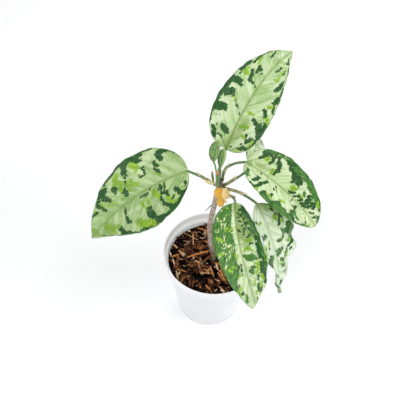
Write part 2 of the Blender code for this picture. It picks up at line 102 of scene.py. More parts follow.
# Leaves
BLADE_THICKNESS = 0.6
BLADE_ROWS = 200
BLADE_COLUMNS = 88
BLADE_ENDS = (0.0015, 0.9985)
VEINS = 11
VEIN_ANGLE = radians(50)
VEIN_WIDTH = 1.3
VEIN_STAGGER = 0.3           # how far the right half's veins are shifted, in spacings
VEIN_DEPTH = 0.28
VEIN_FADE = 3.0              # distance from the midrib over which the veins set in
QUILT = 0.75                 # how high the blade swells between two veins
SCALLOP = 0.9
MARGIN_THINNING = 0.55       # share of its thickness that the blade loses at its margin
TIP_THINNING = 0.6           # share of its size that the rib loses at the tip
WAVE_SHIFT = 2.1
USUAL_LENGTH = 110.0         # of the blade whose rib has the sizes below
GROOVE = (0.35, 0.7)         # depth and half-width of the midrib's groove
SHOULDER = (1.6, 0.8)        # place and half-width of the rise on each side of it
KEEL = (0.9, 0.9)            # height and half-width of the keel below
PETIOLE_RADIUS = 1.25
PETIOLE_FOOT_RADIUS = 1.5
SHEATH_THICKNESS = 0.6
SHEATH_TURN = (100.0, 38.0)


class Leaf(NamedTuple):
    """One leaf; left is seen from its base."""

    name: str
    base: tuple          # where the blade meets its petiole
    heading: float       # compass direction of the blade's start, from +X towards +Y
    rise: float          # slope of the blade's start
    roll: float          # tilt of the blade about its own midrib
    length: float
    half_width: float
    bend: float          # sideways turn from base to tip
    droop: float         # downward turn from base to tip
    fold: float          # each half rises this much from the midrib
    twist: float         # change of roll from base to tip
    base_curve: float    # exponents of the outline: small is blunt
    tip_curve: float
    lopsided: float      # share by which the left half is wider
    skew: float          # share by which the left half is widest nearer the tip
    lobes: tuple         # how far the left and right margins reach back past the base
    wave: float          # height of the waves along the margin
    waves: float         # how many from base to tip
    foot: tuple          # where the petiole leaves the crown
    elbow: tuple         # the point that pulls the petiole's arch
    sheath: tuple        # stretch of the petiole that the papery sheath wraps, as shares
    slot: str = "blade"


LEAVES = (
    Leaf(
        "left", base=(-32.3, 15.7, 222), heading=192, rise=-21, roll=-6, length=130, half_width=40.3,
        bend=22, droop=30, fold=12, twist=-35, base_curve=0.51, tip_curve=1.03, lopsided=0.05, skew=0,
        lobes=(6.5, 2.2), wave=1.6, waves=4.5,
        foot=(-4, 16.4, 203.5), elbow=(-17, 17, 213), sheath=(0.34, 0.76),
    ),
    Leaf(
        "back", base=(3.4, 28.4, 245), heading=64, rise=52, roll=13, length=136, half_width=30,
        bend=-7, droop=68, fold=17, twist=14, base_curve=0.45, tip_curve=1.03, lopsided=0.02, skew=0,
        lobes=(-3, 4.4), wave=1.2, waves=4,
        foot=(-1.0, 16.4, 211.8), elbow=(-2.1, 21.6, 227.6), sheath=(0.14, 0.48),
    ),
    Leaf(
        "right", base=(24.2, 22.5, 235), heading=-26, rise=-11, roll=11, length=102, half_width=27.2,
        bend=9, droop=45, fold=25, twist=30, base_curve=0.41, tip_curve=0.7, lopsided=0.04, skew=0,
        lobes=(2.5, 0.6), wave=1, waves=4,
        foot=(3.0, 17.4, 211.8), elbow=(1.1, 22, 232), sheath=(0.28, 0.62),
    ),
    Leaf(
        "front", base=(16.0, -24.8, 228), heading=-88, rise=-11, roll=18, length=113, half_width=23.8,
        bend=51, droop=68, fold=17, twist=-34, base_curve=0.51, tip_curve=0.65, lopsided=-0.08, skew=0.1,
        lobes=(2.7, -1), wave=1.2, waves=4,
        foot=(3.0, 12.4, 196.5), elbow=(18.4, 12.4, 192.4), sheath=(0.50, 0.68), slot="blade_dark",
    ),
    Leaf(
        "front_right", base=(38.2, -7.7, 209), heading=-53, rise=-31, roll=-24, length=106, half_width=35.4,
        bend=-5, droop=51, fold=15, twist=-27, base_curve=0.66, tip_curve=0.75, lopsided=0.04, skew=0.1,
        lobes=(1.9, 1), wave=3, waves=3.5,
        foot=(3.4, 14.5, 200.8), elbow=(22, 12, 203), sheath=(0.18, 0.7), slot="blade_pale",
    ),
    Leaf(
        "small", base=(31.8, 35.3, 215), heading=74, rise=14, roll=4, length=48, half_width=10.2,
        bend=40, droop=20, fold=12, twist=2, base_curve=0.5, tip_curve=0.94, lopsided=0, skew=0.08,
        lobes=(1.6, 2), wave=0.6, waves=3,
        foot=(2.8, 18.4, 199.6), elbow=(18.4, 22.8, 206.6), sheath=(0.12, 0.52), slot="blade_pale",
    ),
)


class Bud(NamedTuple):
    """A closed rounded body about a straight axis."""

    start: tuple
    end: tuple
    half_width: float
    half_depth: float


class Spathe(NamedTuple):
    """A closed spathe on its short stalk."""

    name: str
    stalk: tuple
    bulge: tuple         # the point that its axis bends through
    tip: tuple
    half_width: float
    half_depth: float
    slit: float          # where its margin laps, as an angle round the axis


# Flowers
FACING = np.array((0.0, -0.6, 0.8))
FLOWER_STALK = ((-1.9, 11.6, 208.6), (-2.4, 12.4, 216.0), (-2.8, 13.7, 223.0))
FLOWER_STALK_RADIUS = 2.0
COLLAR = Bud((-2.8, 12.4, 223.4), (-3.1, 12.4, 229.2), 1.45, 1.3)
SPATHES = (
    Spathe("left", stalk=((-3.8, 14.6, 223.5), (-6.0, 16.6, 233.0), (-8.2, 17.4, 238.4)),
           bulge=(-7.6, 21.4, 249.4), tip=(-4.6, 26.4, 257.8), half_width=5.2, half_depth=4.0, slit=0.9),
    Spathe("right", stalk=((-1.8, 14.7, 223.5), (-0.9, 16.2, 227.0), (-0.6, 17.2, 230.2)),
           bulge=(0.2, 20.6, 242.5), tip=(1.7, 23.0, 251.0), half_width=3.8, half_depth=3.0, slit=2.6),
)
PEDUNCLE_RADIUS = 0.85
SPATHE_SEAT = 1.2
WITHERED_DOME = Bud((-0.6, 7.0, 209.0), (1.6, 7.2, 194.5), 5.2, 4.3)
WITHERED_CUP = Bud((2.4, 4.6, 198.0), (3.6, 1.8, 186.2), 4.0, 3.2)
WITHERED_BEAK = Bud((3.6, 3.6, 192.8), (10.2, 3.4, 193.6), 1.3, 1.0)
WITHERED_GRAIN = (0.28, 0.26)    # voxels that grow its bodies together, then even them out
BLISTERS = 0.5                   # cells to the millimetre
SPADIX = Bud((5.2, 9.1, 207.4), (8.2, 2.8, 198.6), 3.8, 3.8)
SPADIX_CLEAR = 0.3
BEAD_RADIUS = 1.3
BEAD_ROWS = 5
BEAD_SEED = 5
BRACT_BODY = Bud((-4.4, 12.0, 210.0), (-13.4, 12.0, 212.6), 1.9, 0.9)
BRACT_POINT = Bud((-6.0, 12.0, 210.6), (-8.6, 19.6, 220.6), 1.2, 0.8)
BRACT_DROP = Bud((-12.4, 12.0, 212.2), (-14.6, 12.0, 212.9), 1.15, 1.0)

# Dried scales left at the crown
SCALES = (
    Bud((-3.6, 12.2, 206.4), (-6.0, 11.6, 209.4), 1.0, 0.5),
    Bud((1.4, 13.2, 207.0), (0.2, 14.0, 213.0), 1.1, 0.6),
    Bud((2.6, 12.6, 205.6), (4.6, 13.4, 210.6), 0.9, 0.5),
    Bud((4.0, 11.8, 204.0), (6.2, 11.6, 206.8), 0.9, 0.5),
    Bud((1.8, 16.8, 208.6), (3.2, 17.9, 214.2), 1.8, 1.7),
)

# Strips of bark that stand out: from, to, width, tone from dark to pale, height
STRIPS = (
    ((-28.1, -4.1), (-5.2, 7.0), 2.6, 0.66, 96.0), ((-32.1, -3.9), (-22.4, -12.2), 1.5, 0.30, 96.4),
    ((-29.5, 12.0), (-28.2, -3.5), 2.8, 0.22, 95.4), ((-27.1, 10.2), (-20.9, 4.0), 2.4, 0.26, 95.6),
    ((-33.6, 38.4), (-19.3, 35.0), 2.4, 0.52, 95.0), ((-19.5, 38.3), (-9.5, 35.8), 2.0, 0.58, 95.2),
    ((-13.9, 47.4), (-7.9, 45.8), 1.8, 0.66, 95.0), ((-30.3, 32.2), (-27.5, 32.5), 2.2, 1.0, 96.0),
    ((-24.5, 28.6), (-22.9, 14.8), 1.4, 0.84, 95.8), ((-45.0, 12.0), (-39.9, 7.6), 2.0, 0.82, 95.6),
    ((-38.0, 5.0), (-32.2, -2.5), 2.2, 0.80, 95.6), ((-48.0, 1.1), (-46.0, -2.6), 1.6, 0.96, 95.4),
    ((-43.5, -7.7), (-41.2, -14.1), 1.4, 0.92, 95.4), ((-9.1, -10.2), (-4.4, -1.0), 1.3, 0.40, 96.0),
)
STRIP_THICKNESS = 1.4

# Layers of thrown bark: how many, then the ranges of length, width, thickness and height, and the tilt
LAYERS = (
    (90, (9.0, 20.0), (2.0, 4.2), (1.2, 2.2), (90.6, 92.6), 0.20),
    (150, (6.0, 14.0), (1.4, 3.0), (0.9, 1.8), (91.6, 94.4), 0.40),
    (620, (1.6, 5.0), (0.7, 1.9), (0.6, 1.3), (90.0, 93.6), 0.45),
)

# Tones of bark from dark to pale, and where each lies on the way
BARK_TONES = (
    (0.0, (8, 4, 4)), (0.02, (36, 20, 18)), (0.25, (84, 48, 38)), (0.45, (138, 84, 54)),
    (0.65, (206, 134, 78)), (0.82, (226, 176, 126)), (0.97, (246, 222, 190)),
)

# Marks on the blades, each a stroke of a brush: its half-width, then t and s, in hundredths, of the places
# that it passes through
MARKS = {
    ("left", "dark"): (
        # left margin, base to tip
        (1.5, 4.5, 58, 4, 80), (3.4, 6, 95, 12, 92, 20, 90), (2.4, 9, 85, 11, 62, 13, 46),
        (1.7, 16, 66, 19, 70), (2.2, 20, 82, 25, 62), (1.7, 25, 60, 26.5, 44, 25, 32),
        (1.8, 20, 52, 20.5, 38, 25, 33), (1.1, 21.5, 30, 20.5, 10), (1.4, 24.5, 26, 24, 10),
        (1.2, 26.5, 20, 26, 20), (2.2, 20, 93, 30, 95, 38, 92), (2.6, 29, 93, 34, 86), (2, 35, 82, 38, 86),
        (4.8, 38.5, 70, 40, 64), (2.2, 40, 86), (2, 37.5, 50, 42, 48), (2, 42, 93, 50, 93, 56, 95),
        (1.6, 51, 88), (1, 56, 96, 70, 95), (2.6, 67, 90, 73, 90), (3.3, 71.5, 85, 72, 70), (1.6, 70.5, 62),
        (1.2, 74, 98, 86, 96), (1.2, 88, 86, 92, 64),
        # left half, near the midrib
        (2.2, 60.5, 56, 63, 56), (2, 62, 50, 62.2, 38), (1.2, 61.5, 28, 59, 10), (1.3, 36, 11, 38.5, 17),
        (1, 39.5, 9, 43, 12), (0.7, 32, 2, 34.5, 5),
        # right half, base to tip
        (2, 21.5, -27, 23.5, -40), (2, 21, -46, 22.5, -58), (3.1, 17.5, -65, 17.8, -80),
        (2.8, 17, -84, 12, -98), (1.4, 7, -98, 14, -98), (1.1, 32, -36, 36, -37), (1.3, 31.5, -40, 32, -54),
        (0.9, 35.5, -40, 36, -44), (0.9, 30, -57, 34, -57), (2, 31, -79, 36, -78), (2.4, 29, -95, 34, -84),
        (3.4, 35, -90, 41, -92), (1.2, 21, -98, 32, -98), (3.2, 42.5, -86, 44.5, -72),
        (1.8, 44, -64, 46, -60), (1.6, 44, -96, 60, -97), (1.3, 47, -56, 48.5, -40),
        (2.6, 51.5, -33, 51.5, -20), (1.3, 52, -30, 54, -34), (2.9, 57.2, -54, 57.6, -62), (1.6, 58.2, -47),
        (4.2, 64, -82, 69, -92), (1.8, 61, -94), (2.6, 64.8, -46, 66, -60), (2.4, 66, -62, 68.5, -75),
        (1.9, 72.7, -36, 73.2, -58), (2.3, 73.5, -60, 75.2, -88), (1.4, 71, -80, 74.5, -93),
        (1.7, 79, -68, 82, -88), (1.4, 83, -97, 86, -95),
    ),
    ("left", "lime"): (
        (1.9, 14.5, 82, 18.5, 74), (1.2, 14, 68), (1.4, 20.5, 66, 21, 52), (1.2, 19, 58, 21.5, 64),
        (1, 7, 70, 8, 62), (2.6, 28, 36, 30.5, 18), (1.8, 31, 25, 31.5, 13), (3, 40.5, 89, 49, 83),
        (2.6, 43, 80, 55, 76), (2, 50, 65, 55, 68), (1.6, 53, 86, 55, 90), (1.7, 38, 40, 38.5, 26),
        (1.8, 43, 40, 44.5, 24), (1.2, 42, 47), (2.2, 72, 52, 77, 58), (0.6, 79, 90, 80, 50),
        (0.8, 77.5, 60, 79, 20), (0.4, 84, 75, 83, 20), (1, 22, -20, 25.5, -30), (3, 35, -65, 37.2, -76),
        (1.8, 37, -57), (1.3, 38, -84), (2, 40, -24, 47.5, -40), (1.6, 42, -40, 45, -46),
        (1.2, 47, -22, 48.5, -31), (2.2, 54, -42, 52, -50), (2.6, 50.5, -56, 54.5, -70),
        (2.8, 50.5, -82, 53, -79), (1.2, 56.5, -20), (1.1, 62, -20, 65, -36), (0.9, 66, -20, 69, -40),
        (1.2, 71, -45, 72.2, -70), (1.6, 82, -44), (2, 80, -92), (1.1, 92, -50, 94, -85),
        (2, 78.5, 78, 80, 50), (2.2, 81, 45, 83, 15),
    ),
    ("left", "pale"): (
        (4, 22, -85, 30, -70), (2, 7, 60, 15, 50), (2, 45, 35, 58, 30), (1.6, 48, -60, 49, -80),
        (1.6, 55, -80, 60, -75), (2, 76, 92, 78, 80), (1.6, 28, 80, 31, 50), (1.6, 33, -46, 35, -54),
    ),
    ("left", "olive"): (
        (5, 77, 45, 81, 60), (4.5, 80, 15, 83, 80), (3, 50, 72, 56, 66), (4, 52, -50, 54, -70),
        (3, 44, -20, 48, -40), (2, 62, -30, 68, -55), (5, 93, 40, 95, 0, 94, -60), (2, 30, 15, 33, 30),
    ),
    ("back", "dark"): (
        # left margin
        (3.2, 6.5, 86, 9, 78), (1.6, 10.5, 88, 11.5, 80), (1.1, 8.5, 62, 7, 40), (3.2, 13.5, 42, 12, 28),
        (1.6, 14.5, 52), (0.8, 13.5, 70), (0.7, 19, 80), (0.8, 20, 66), (1.4, 14, 99, 22, 98),
        (3.8, 24, 92, 25.5, 70), (2.2, 25, 58, 26.5, 62), (3, 29, 97, 45, 94), (3.6, 34.5, 82, 37, 66),
        (2, 35.5, 56), (3.4, 44.5, 86, 45.5, 68), (1.9, 44, 55), (3, 53, 94, 60, 97), (1.2, 50, 85, 54, 86),
        (2.5, 51, 44, 54, 50), (1.9, 54, 52, 57, 60), (1.5, 51, 38, 50.5, 26), (1.9, 58, 44, 63, 52),
        # the thin strokes from (34.5, 46) down to (26.2, 7) and from (51, 25) to (48.8, 8) are painted
        # shadow in creases along veins
        (2.5, 62, 48, 61.8, 38), (0.8, 60, 30, 59.8, 22), (1.6, 62, 83, 70, 93), (0.9, 34.5, 46, 30, 25),
        (0.5, 30, 25, 26.2, 7), (0.5, 51, 25, 48.8, 8), (1.8, 76.5, 60, 80, 76), (1, 81.5, 80, 82.5, 98),
        (0.8, 74.5, 50), (1, 72, 97, 79, 97),
        # right half
        (1.8, 3, -28), (2.5, 6, -68, 7.5, -92), (1.1, 4.5, -60, 5, -85), (1.4, 8, -58),
        (2.6, 12, -68, 14, -78), (1.7, 15.5, -50, 14, -57), (1.7, 8, -93, 20, -95), (0.9, 17.5, -38),
        (3.4, 20, -86, 25, -72), (2, 25.5, -60, 27.5, -47), (2.2, 22, -93, 28.5, -88),
        (2.3, 33, -76, 36.2, -68), (1.6, 37, -60), (1.5, 38, -94, 44, -86), (2.3, 45, -83, 50, -90),
        (1.4, 46, -92, 60, -97), (2.5, 54.5, -68, 57, -75), (2.6, 57, -77, 62, -84),
        (1.2, 63, -86, 65.5, -88), (1.5, 69.3, -30, 71, -37), (1.9, 71, -38, 75.5, -42),
        (1.3, 70, -73, 74.5, -77), (0.9, 72, -93, 80, -94), (2.3, 82, -62, 83.5, -84),
        (2, 85, -74, 88, -60),
    ),
    ("back", "lime"): (
        (1.8, 52, 79, 56, 79), (2.3, 53, 64, 53.5, 74), (1.5, 63.5, 66, 69, 82), (1.2, 33, 46, 34, 50),
        (0.8, 37, 50), (1.7, 19.5, -14, 20.5, -42), (1.7, 30.5, -18, 30.3, -36), (1.5, 14, -40, 13, -50),
        (1.3, 9, -89, 13.5, -86), (1.3, 3, -82), (1.8, 40, -70, 42, -82), (2.2, 30, -92, 32, -84),
        (1.4, 62, -42, 62.5, -52), (1.1, 63, -60, 67, -60), (1.4, 67, -58, 74, -67),
        (1.2, 78, -47, 81, -48),
    ),
    ("back", "pale"): (
        (4, 15, 85, 19, 60), (3, 29, 85, 30, 60), (3, 40, 75, 41, 60), (3, 57, 70, 66, 72),
        (5, 84, 40, 95, 30), (3, 20, -65, 24, -50), (3, 35, -90, 38, -80), (3, 58, -65, 68, -78),
        (3, 6, 60, 5, 75), (4, 84, -40, 95, -45),
    ),
    ("back", "olive"): ((5, 2, 10, 10, -10), (4, 12, -20, 24, -25)),
    ("right", "dark"): (
        # left margin
        (2.6, 11, 86, 13, 66), (1.6, 10, 60, 9, 52), (3, 13, 95, 20, 92), (2.6, 13, 80, 19, 82),
        (2, 20, 76, 20.5, 56), (1.5, 19.5, 47), (1.8, 23.5, 82, 26.5, 60), (2.2, 27.5, 60, 29.5, 40),
        (1.6, 29, 34, 28, 23), (1.8, 22, 96, 30, 90), (4.6, 34, 92, 50, 90), (3.6, 38, 78, 48, 70),
        (3.4, 45, 60, 50, 58), (1.8, 45.8, 40, 47, 46), (2.6, 52, 62), (1.6, 52.5, 50), (4, 50, 95, 80, 97),
        (3.2, 69, 62, 71, 34), (3, 74, 55, 75, 30), (2.8, 71, 20, 73, 18), (1.6, 68, 10, 74, 12),
        (2.6, 77, 72, 79, 50), (2, 80, 84, 85, 86),
        # ring and streaks by the midrib
        (1.7, 61.5, 50, 63.5, 44), (1.6, 60, 27, 66, 25), (1.4, 58, 12, 60.5, 20), (1.4, 63, 12, 65.5, 20),
        (2, 51.5, 10, 54.5, 20), (1.4, 82, 24, 84.5, 42), (1.6, 88.5, 22, 90, 50), (2.4, 91, 65, 95, 80),
        # right half
        (2, 6.2, -50, 7, -80), (1.3, 5, -97, 8, -86), (0.9, 10, -72), (2.1, 18.5, -38, 17.5, -54),
        (1.9, 16.5, -60, 15.8, -72), (0.7, 19, -12, 18, -4), (1.7, 27.2, -26, 25, -42),
        (1.8, 24, -46, 22.5, -66), (1.6, 22, -70, 20.5, -86), (1.5, 36.2, -32), (0.6, 37, -12, 40, -33),
        (1.7, 37.5, -57, 37, -68), (2.6, 30, -76, 28.5, -92), (2.8, 33, -84, 40, -90),
        (2, 40, -96, 52, -96), (2.3, 42.5, -84, 45.5, -74), (3, 47.5, -68, 48.5, -72),
        (2, 50, -74, 50.5, -88), (1.3, 53, -76, 58, -71), (3.2, 54, -94, 62, -86), (3.2, 64, -80, 66, -72),
        (2.8, 65, -60, 66.5, -50), (1.6, 65.2, -40, 65.6, -20), (0.9, 58, -12, 58.5, -22),
        (1, 60, -28, 64, -36), (1.3, 69, -60, 75, -72), (2.2, 68, -78, 70, -88), (1.3, 68, -94, 86, -94),
        (1.6, 85.5, -56, 87, -76), (1.2, 82.5, -70), (1.5, 14, -97, 20, -92),
    ),
    ("right", "lime"): (
        (2.3, 16, 59, 16.2, 54), (1.5, 25, 32, 25.5, 18), (2.4, 50, 32, 51, 26), (1.5, 54, 40, 53.2, 32),
        (0.9, 60, 33, 64.5, 33), (1.8, 77.5, 85, 81, 87), (1.2, 79, 74), (0.7, 22, 90),
        (1.6, 47.5, -53, 52, -47), (1.3, 34.5, -70, 38, -73), (1.9, 22, -93), (1.5, 77, -22),
        (1.3, 82, -36), (1.3, 87, 22), (1.5, 92, -60, 90, -75),
    ),
    ("right", "pale"): (
        (2.4, 25, 85, 30, 72, 40, 60), (2.6, 58, 62, 64, 64, 67, 40), (2.4, 56, 50, 56, 25),
        (2, 56, -56, 60, -50), (2, 80, 30, 88, 72), (2.6, 5, 85, 8, 75), (2, 72, -30, 80, -10),
    ),
    ("right", "mid"): (
        (3.4, 42, 90, 78, 88), (2, 12, 94, 34, 96), (4, 46, -84, 64, -92), (2.6, 30, -90, 38, -92),
        (1.6, 6, -55, 7, -80), (1.4, 62, 50, 64, 44), (2.4, 60, 80, 76, 82), (2.6, 84, -84, 90, -82),
        (2, 66, -66, 69, -56), (2, 70, -62, 75, -72), (2.2, 92, 90, 96, 60), (2, 48, -72, 49, -86),
    ),
    ("right", "fleck"): (
        (0.4, 19, 75), (0.3, 23, 70), (0.3, 28, 90), (0.3, 45, 68), (0.4, 48, 58), (0.3, 56, 72),
        (0.4, 72, 52, 74, 44), (0.3, 39, 82), (0.3, 31, 48), (0.3, 73, 18, 76, 20), (0.3, 50, 86),
        (0.3, 70, 70),
    ),
    ("right", "olive"): ((4, 1, 20, 2, -20), (2.2, 10, 20, 22, 25)),
    ("front", "dark"): (
        # left half: dense streaks at its base
        (4.4, 7, 90, 32, 90), (2.8, 9, 68, 13, 72), (1.5, 7.5, 42, 8, 60), (1, 9, 15, 10, 32),
        (1.4, 13, 32, 11.5, 56), (2, 19, 52, 20, 74), (1.2, 15.5, 50, 15, 66), (1, 24, 36, 22.5, 56),
        (0.8, 16, 18, 18, 36), (2.2, 24, 66, 28, 78), (1.3, 26.5, 33, 28, 30), (1.2, 25.5, 16, 24, 8),
        (1.6, 29.5, 62, 31, 46), (0.8, 21, 28, 20.5, 40), (0.7, 13, 12, 14, 20), (3.2, 36, 94, 58, 92),
        (2.4, 38, 78, 50, 76), (1, 37, 44, 36.5, 58), (1.6, 55, 70, 65, 70), (2.8, 60, 86, 70, 86),
        (1.4, 67, 52, 71, 50), (2.6, 70, 94, 77, 92), (2, 76, 48, 82, 46), (2.4, 81, 62, 83, 70),
        (1.2, 90, 40, 96, 70), (0.9, 46, 8, 47.5, 12),
        # right half
        (2.2, 43, -36, 50, -40), (2.2, 53, -34, 57, -44), (2.4, 55, -58, 60, -60), (2.8, 60, -74, 66, -90),
        (1, 52, -16, 60, -26), (1.6, 39, -27, 42, -34), (2, 46, -52, 48, -66), (1.8, 54, -80, 58, -92),
        (0.9, 66, -66, 68, -80), (1.7, 73, -70, 72.5, -86), (1, 10, -36, 7, -58), (0.9, 18, -28, 16, -40),
        (0.9, 29, -26, 31, -34), (0.8, 21, -60, 20, -72), (0.8, 17, -86, 15, -95), (0.9, 30, -44, 31, -56),
    ),
    ("front", "lime"): (
        (1.8, 33.5, 58, 33.5, 36), (1.6, 39.5, 34, 41, 16), (1.1, 41, 42, 43, 50), (1.7, 55, 60, 61, 56),
        (1.5, 61.5, 52, 63.5, 44), (1.5, 55, 46, 56, 54), (1.8, 68, 70, 73, 82), (1.6, 76, 66, 79, 62),
        (0.8, 20, 78), (0.7, 30, 76), (1.2, 71, 30, 74, 26), (1.2, 21.5, -22, 23.5, -30),
        (1.1, 21.5, -38, 23.5, -48), (1.2, 30.5, -64, 28.5, -84), (1.2, 42, -27, 45.5, -28),
        (1.2, 52, -46, 51, -58), (1.4, 54, -64, 52, -74), (1.2, 59, -34, 60, -46),
        (1.4, 68.5, -66, 70, -94), (0.8, 5, -50, 4.5, -72), (1.3, 40, -78, 39.5, -90),
        (1, 72, -96, 76, -98), (1.2, 80, 30, 85, 34),
    ),
    ("front", "pale"): (
        (1.5, 10, -14, 30, -12, 60, -12), (1.4, 34, 10, 62, 8), (5, 66, -30, 80, -30),
        (5, 66, -36, 86, -16), (1.6, 38, 60, 45, 56), (1.4, 54, 45, 54.5, 14), (1.4, 58.5, 26, 57.5, 12),
        (1.8, 65, 36, 72, 16), (2, 86, 50, 90, 60), (1.5, 44, 36, 45, 20), (0.8, 8, -30, 6, -44),
    ),
    ("front", "mid"): (
        (2.4, 38, 98, 60, 96), (1.6, 12, 66, 30, 90), (1.2, 24, 74, 30, 60), (9.4, 8, -60, 32, -62),
        (6.4, 34, -52, 56, -66), (3.4, 22, -34, 36, -32), (3.4, 60, -84, 66, -96),
        (3.6, 48.5, 42, 48.5, 24), (1.4, 50.5, 58, 50, 50), (1.6, 46.5, 16, 46, 10),
        (2.2, 57.5, 42, 58, 32), (1.9, 60, 20, 62.5, 28), (2.8, 78, -60, 82, -80), (2, 84, 60, 86, 72),
        (5, 30, -92, 52, -94),
    ),
    ("front", "fleck"): (
        (1.1, 14, -55, 20, -50), (0.8, 16, -72, 12, -95), (0.8, 35, -38, 33.5, -68),
        (1, 36.5, -42, 38.5, -34), (0.8, 40, -42, 43.5, -50), (0.8, 43, -52, 44.5, -70),
        (1.3, 39, -72, 41, -90), (0.6, 28, -55, 31, -60), (0.5, 24, -74, 23, -86), (0.7, 20, -20, 26, -18),
        (0.5, 17, -62, 21, -66), (0.5, 30, -76, 32, -66), (0.5, 10, -42, 12, -50), (0.6, 46, -74, 50, -86),
        (0.4, 6, -80, 8, -94), (0.5, 36, -60, 40, -64),
    ),
    ("front", "olive"): (
        (7, 6, 50, 30, 50), (5, 6, 20, 34, 20), (3, 34, 30, 40, 30), (3, 2, -10, 2, 30),
    ),
    ("front_right", "dark"): (
        (2, 11, 74, 12, 66), (2.6, 19, 86, 24, 84), (1.6, 18, 72, 17.5, 66), (1.6, 23, 74, 25, 66),
        (1.9, 26, 62, 28.5, 50), (2.4, 32, 88, 36, 90), (4.2, 34, 84, 41, 78), (2.8, 37, 66, 37.5, 56),
        (1.4, 34.5, 50, 39, 50), (4, 42, 92, 54, 92), (1.5, 42, 49, 43, 46), (1.9, 44, 38, 42.5, 24),
        (2, 54, 36, 54.5, 28), (3, 53, 20, 55, 14), (1.6, 51, 8), (1.6, 56.5, 92, 56.5, 66),
        (1.5, 58, 56, 61, 46), (1.1, 61, 42, 65, 42), (1.8, 66, 34, 63, 20), (1.8, 76, 52, 72, 28),
        (1.2, 61, 78, 61.5, 70), (1.2, 86, 80, 82, 44), (1.7, 92, 44, 88, 12), (1.2, 95, 50, 93, 20),
        # right half
        (1.6, 30, -40, 28.5, -48), (2.6, 28.5, -56, 27.5, -66), (1.9, 28, -74, 26.5, -92),
        (1.5, 37, -70, 38, -78), (1.3, 50.5, -32, 49, -44), (2.4, 48, -54, 47, -66),
        (3, 47.5, -78, 48, -94), (1.2, 14, -74, 15, -82), (1.8, 14, -96), (1, 40, -44, 41, -56),
        (3.4, 60, -92, 62, -80), (1.7, 64, -66, 66, -55), (2.8, 70, -48, 71, -40), (1.4, 73, -28, 74, -20),
        (2.2, 80, -50, 78, -62), (1.8, 36, -95, 40, -95), (1.2, 56, -20, 57.5, -26), (2, 88, -52, 90, -64),
        (2.4, 70, -95, 76, -90),
    ),
    ("front_right", "lime"): (
        (3, 20, 60, 20, 54), (1.7, 25.5, 82, 27.5, 70), (1.7, 53, 86, 51, 68), (1.2, 22, 31),
        (1.6, 62, 56, 64.5, 48), (1.5, 67, 22, 70, 28), (1.4, 82, 80, 80, 62), (1.2, 16.5, -42, 17, -70),
        (1.8, 36.5, -30, 37.5, -48), (2, 34, -86, 36, -76), (1.8, 41, -76, 42, -90),
        (1.6, 82, -75, 80, -90), (1.8, 67, -70, 69, -78), (1.3, 78, -20, 80, -28),
    ),
    ("front_right", "pale"): (
        (12, 12, -60, 45, -50), (7, 30, 25, 60, 30), (6, 55, 60, 85, 60), (8, 60, -50, 85, -40),
    ),
    ("front_right", "mid"): (
        (3, 2, 80, 8, 85), (3, 44, 92, 52, 86), (2.6, 34, 88, 44, 86), (1.6, 43, 38, 42, 26),
        (2.4, 53, 32, 55, 16), (1.6, 36, 62, 38, 54), (1.4, 29, -45, 28, -80), (1.6, 49, -40, 48, -85),
        (1.4, 64, 32, 74, 42),
    ),
    ("front_right", "olive"): ((7, 0, 60, 5, 50), (5, 6, 85, 16, 75), (4, 0, 0, 2, -50)),
    ("small", "dark"): (
        (1, 22, -48, 25, -62), (1.1, 24, -80, 27, -95), (0.9, 29, -90, 42, -95), (0.5, 27, 2, 30, -10),
        (0.5, 36, 60, 39, 66), (0.45, 46, -34), (0.4, 17, 92, 28, 94), (0.5, 55, -84, 62, -80),
        (0.5, 36, 12),
    ),
    ("small", "lime"): (
        (0.6, 25, -12, 26, -24), (1, 53, -18, 58, -10), (0.4, 41, -30), (0.5, 39, 16, 42, 18),
        (0.5, 65, -66), (0.6, 12, 78, 22, 66),
    ),
    ("small", "pale"): ((3, 30, 0, 60, 20),),
    ("small", "olive"): ((3, 2, 30, 4, -30),),
}
MARK_KINDS = ("dark", "lime", "pale", "mid", "fleck", "olive")
NO_MARK = -20.0              # depth where no stroke is near

# Ground of each blade: its two tones, the share of the lighter one, and how freckled it is. The tones also
# hold painted light: each blade is lighter or darker as the light falls on it, the left one darkest.
GROUND_AND_PAINTED_LIGHT = {
    "left": ((138, 172, 106), (184, 207, 150), 0.54, 0.06),
    "back": ((154, 186, 118), (202, 220, 176), 0.50, 0.05),
    "right": ((182, 206, 146), (216, 231, 190), 0.56, 0.08),
    "front": ((150, 180, 110), (212, 228, 188), 0.52, 0.30),
    "front_right": ((180, 205, 156), (219, 233, 207), 0.58, 0.06),
    "small": ((204, 228, 178), (240, 249, 226), 0.62, 0.26),
}
SHADES = {
    "dark": (48, 98, 40), "darkest": (24, 70, 26), "mid": (92, 148, 58), "moss": (44, 98, 26),
    "cream": (230, 238, 208), "yolk": (232, 236, 150), "lime": (152, 192, 54), "deep_lime": (112, 156, 40),
    "olive": (132, 160, 80), "rib": (140, 164, 92), "under": (158, 186, 128), "under_dark": (106, 146, 88),
    "under_vein": (190, 210, 160), "under_rib": (176, 196, 140), "dry_scale": (62, 34, 34),
    "pale_scale": (112, 76, 66), "floor": (250, 250, 251),
}

# Camera, fitted to the pot's rim and wall in the photograph; lights as place, size, power and tint
CAMERA_LENS = 62.26
CAMERA_PLACE = (-0.00939, -0.44702, 0.77022)
CAMERA_RIGHT = Vector((0.99651485, 0.06629941, 0.05062165))
CAMERA_UP = Vector((-0.08341561, 0.79203825, 0.60474561))
LIGHT_TARGET = Vector((0.0, 0.0, 0.18))
LIGHTS = {
    "key": ((-0.7, -0.9, 1.5), 1.2, 13.0, (1.0, 1.0, 1.0)),
    "fill": ((1.1, -0.3, 0.9), 1.0, 8.0, (0.97, 0.99, 1.0)),
    "back": ((0.2, 1.2, 1.1), 1.0, 6.0, (1.0, 1.0, 1.0)),
}
SKY_STRENGTH = 0.55
FLOOR_RADIUS = 4.0


# Shapes

def unit(vectors):
    return vectors / (np.linalg.norm(vectors, axis=-1, keepdims=True) + 1e-12)


def around_axis(steps):
    return np.linspace(0, 2 * pi, steps, endpoint=False)


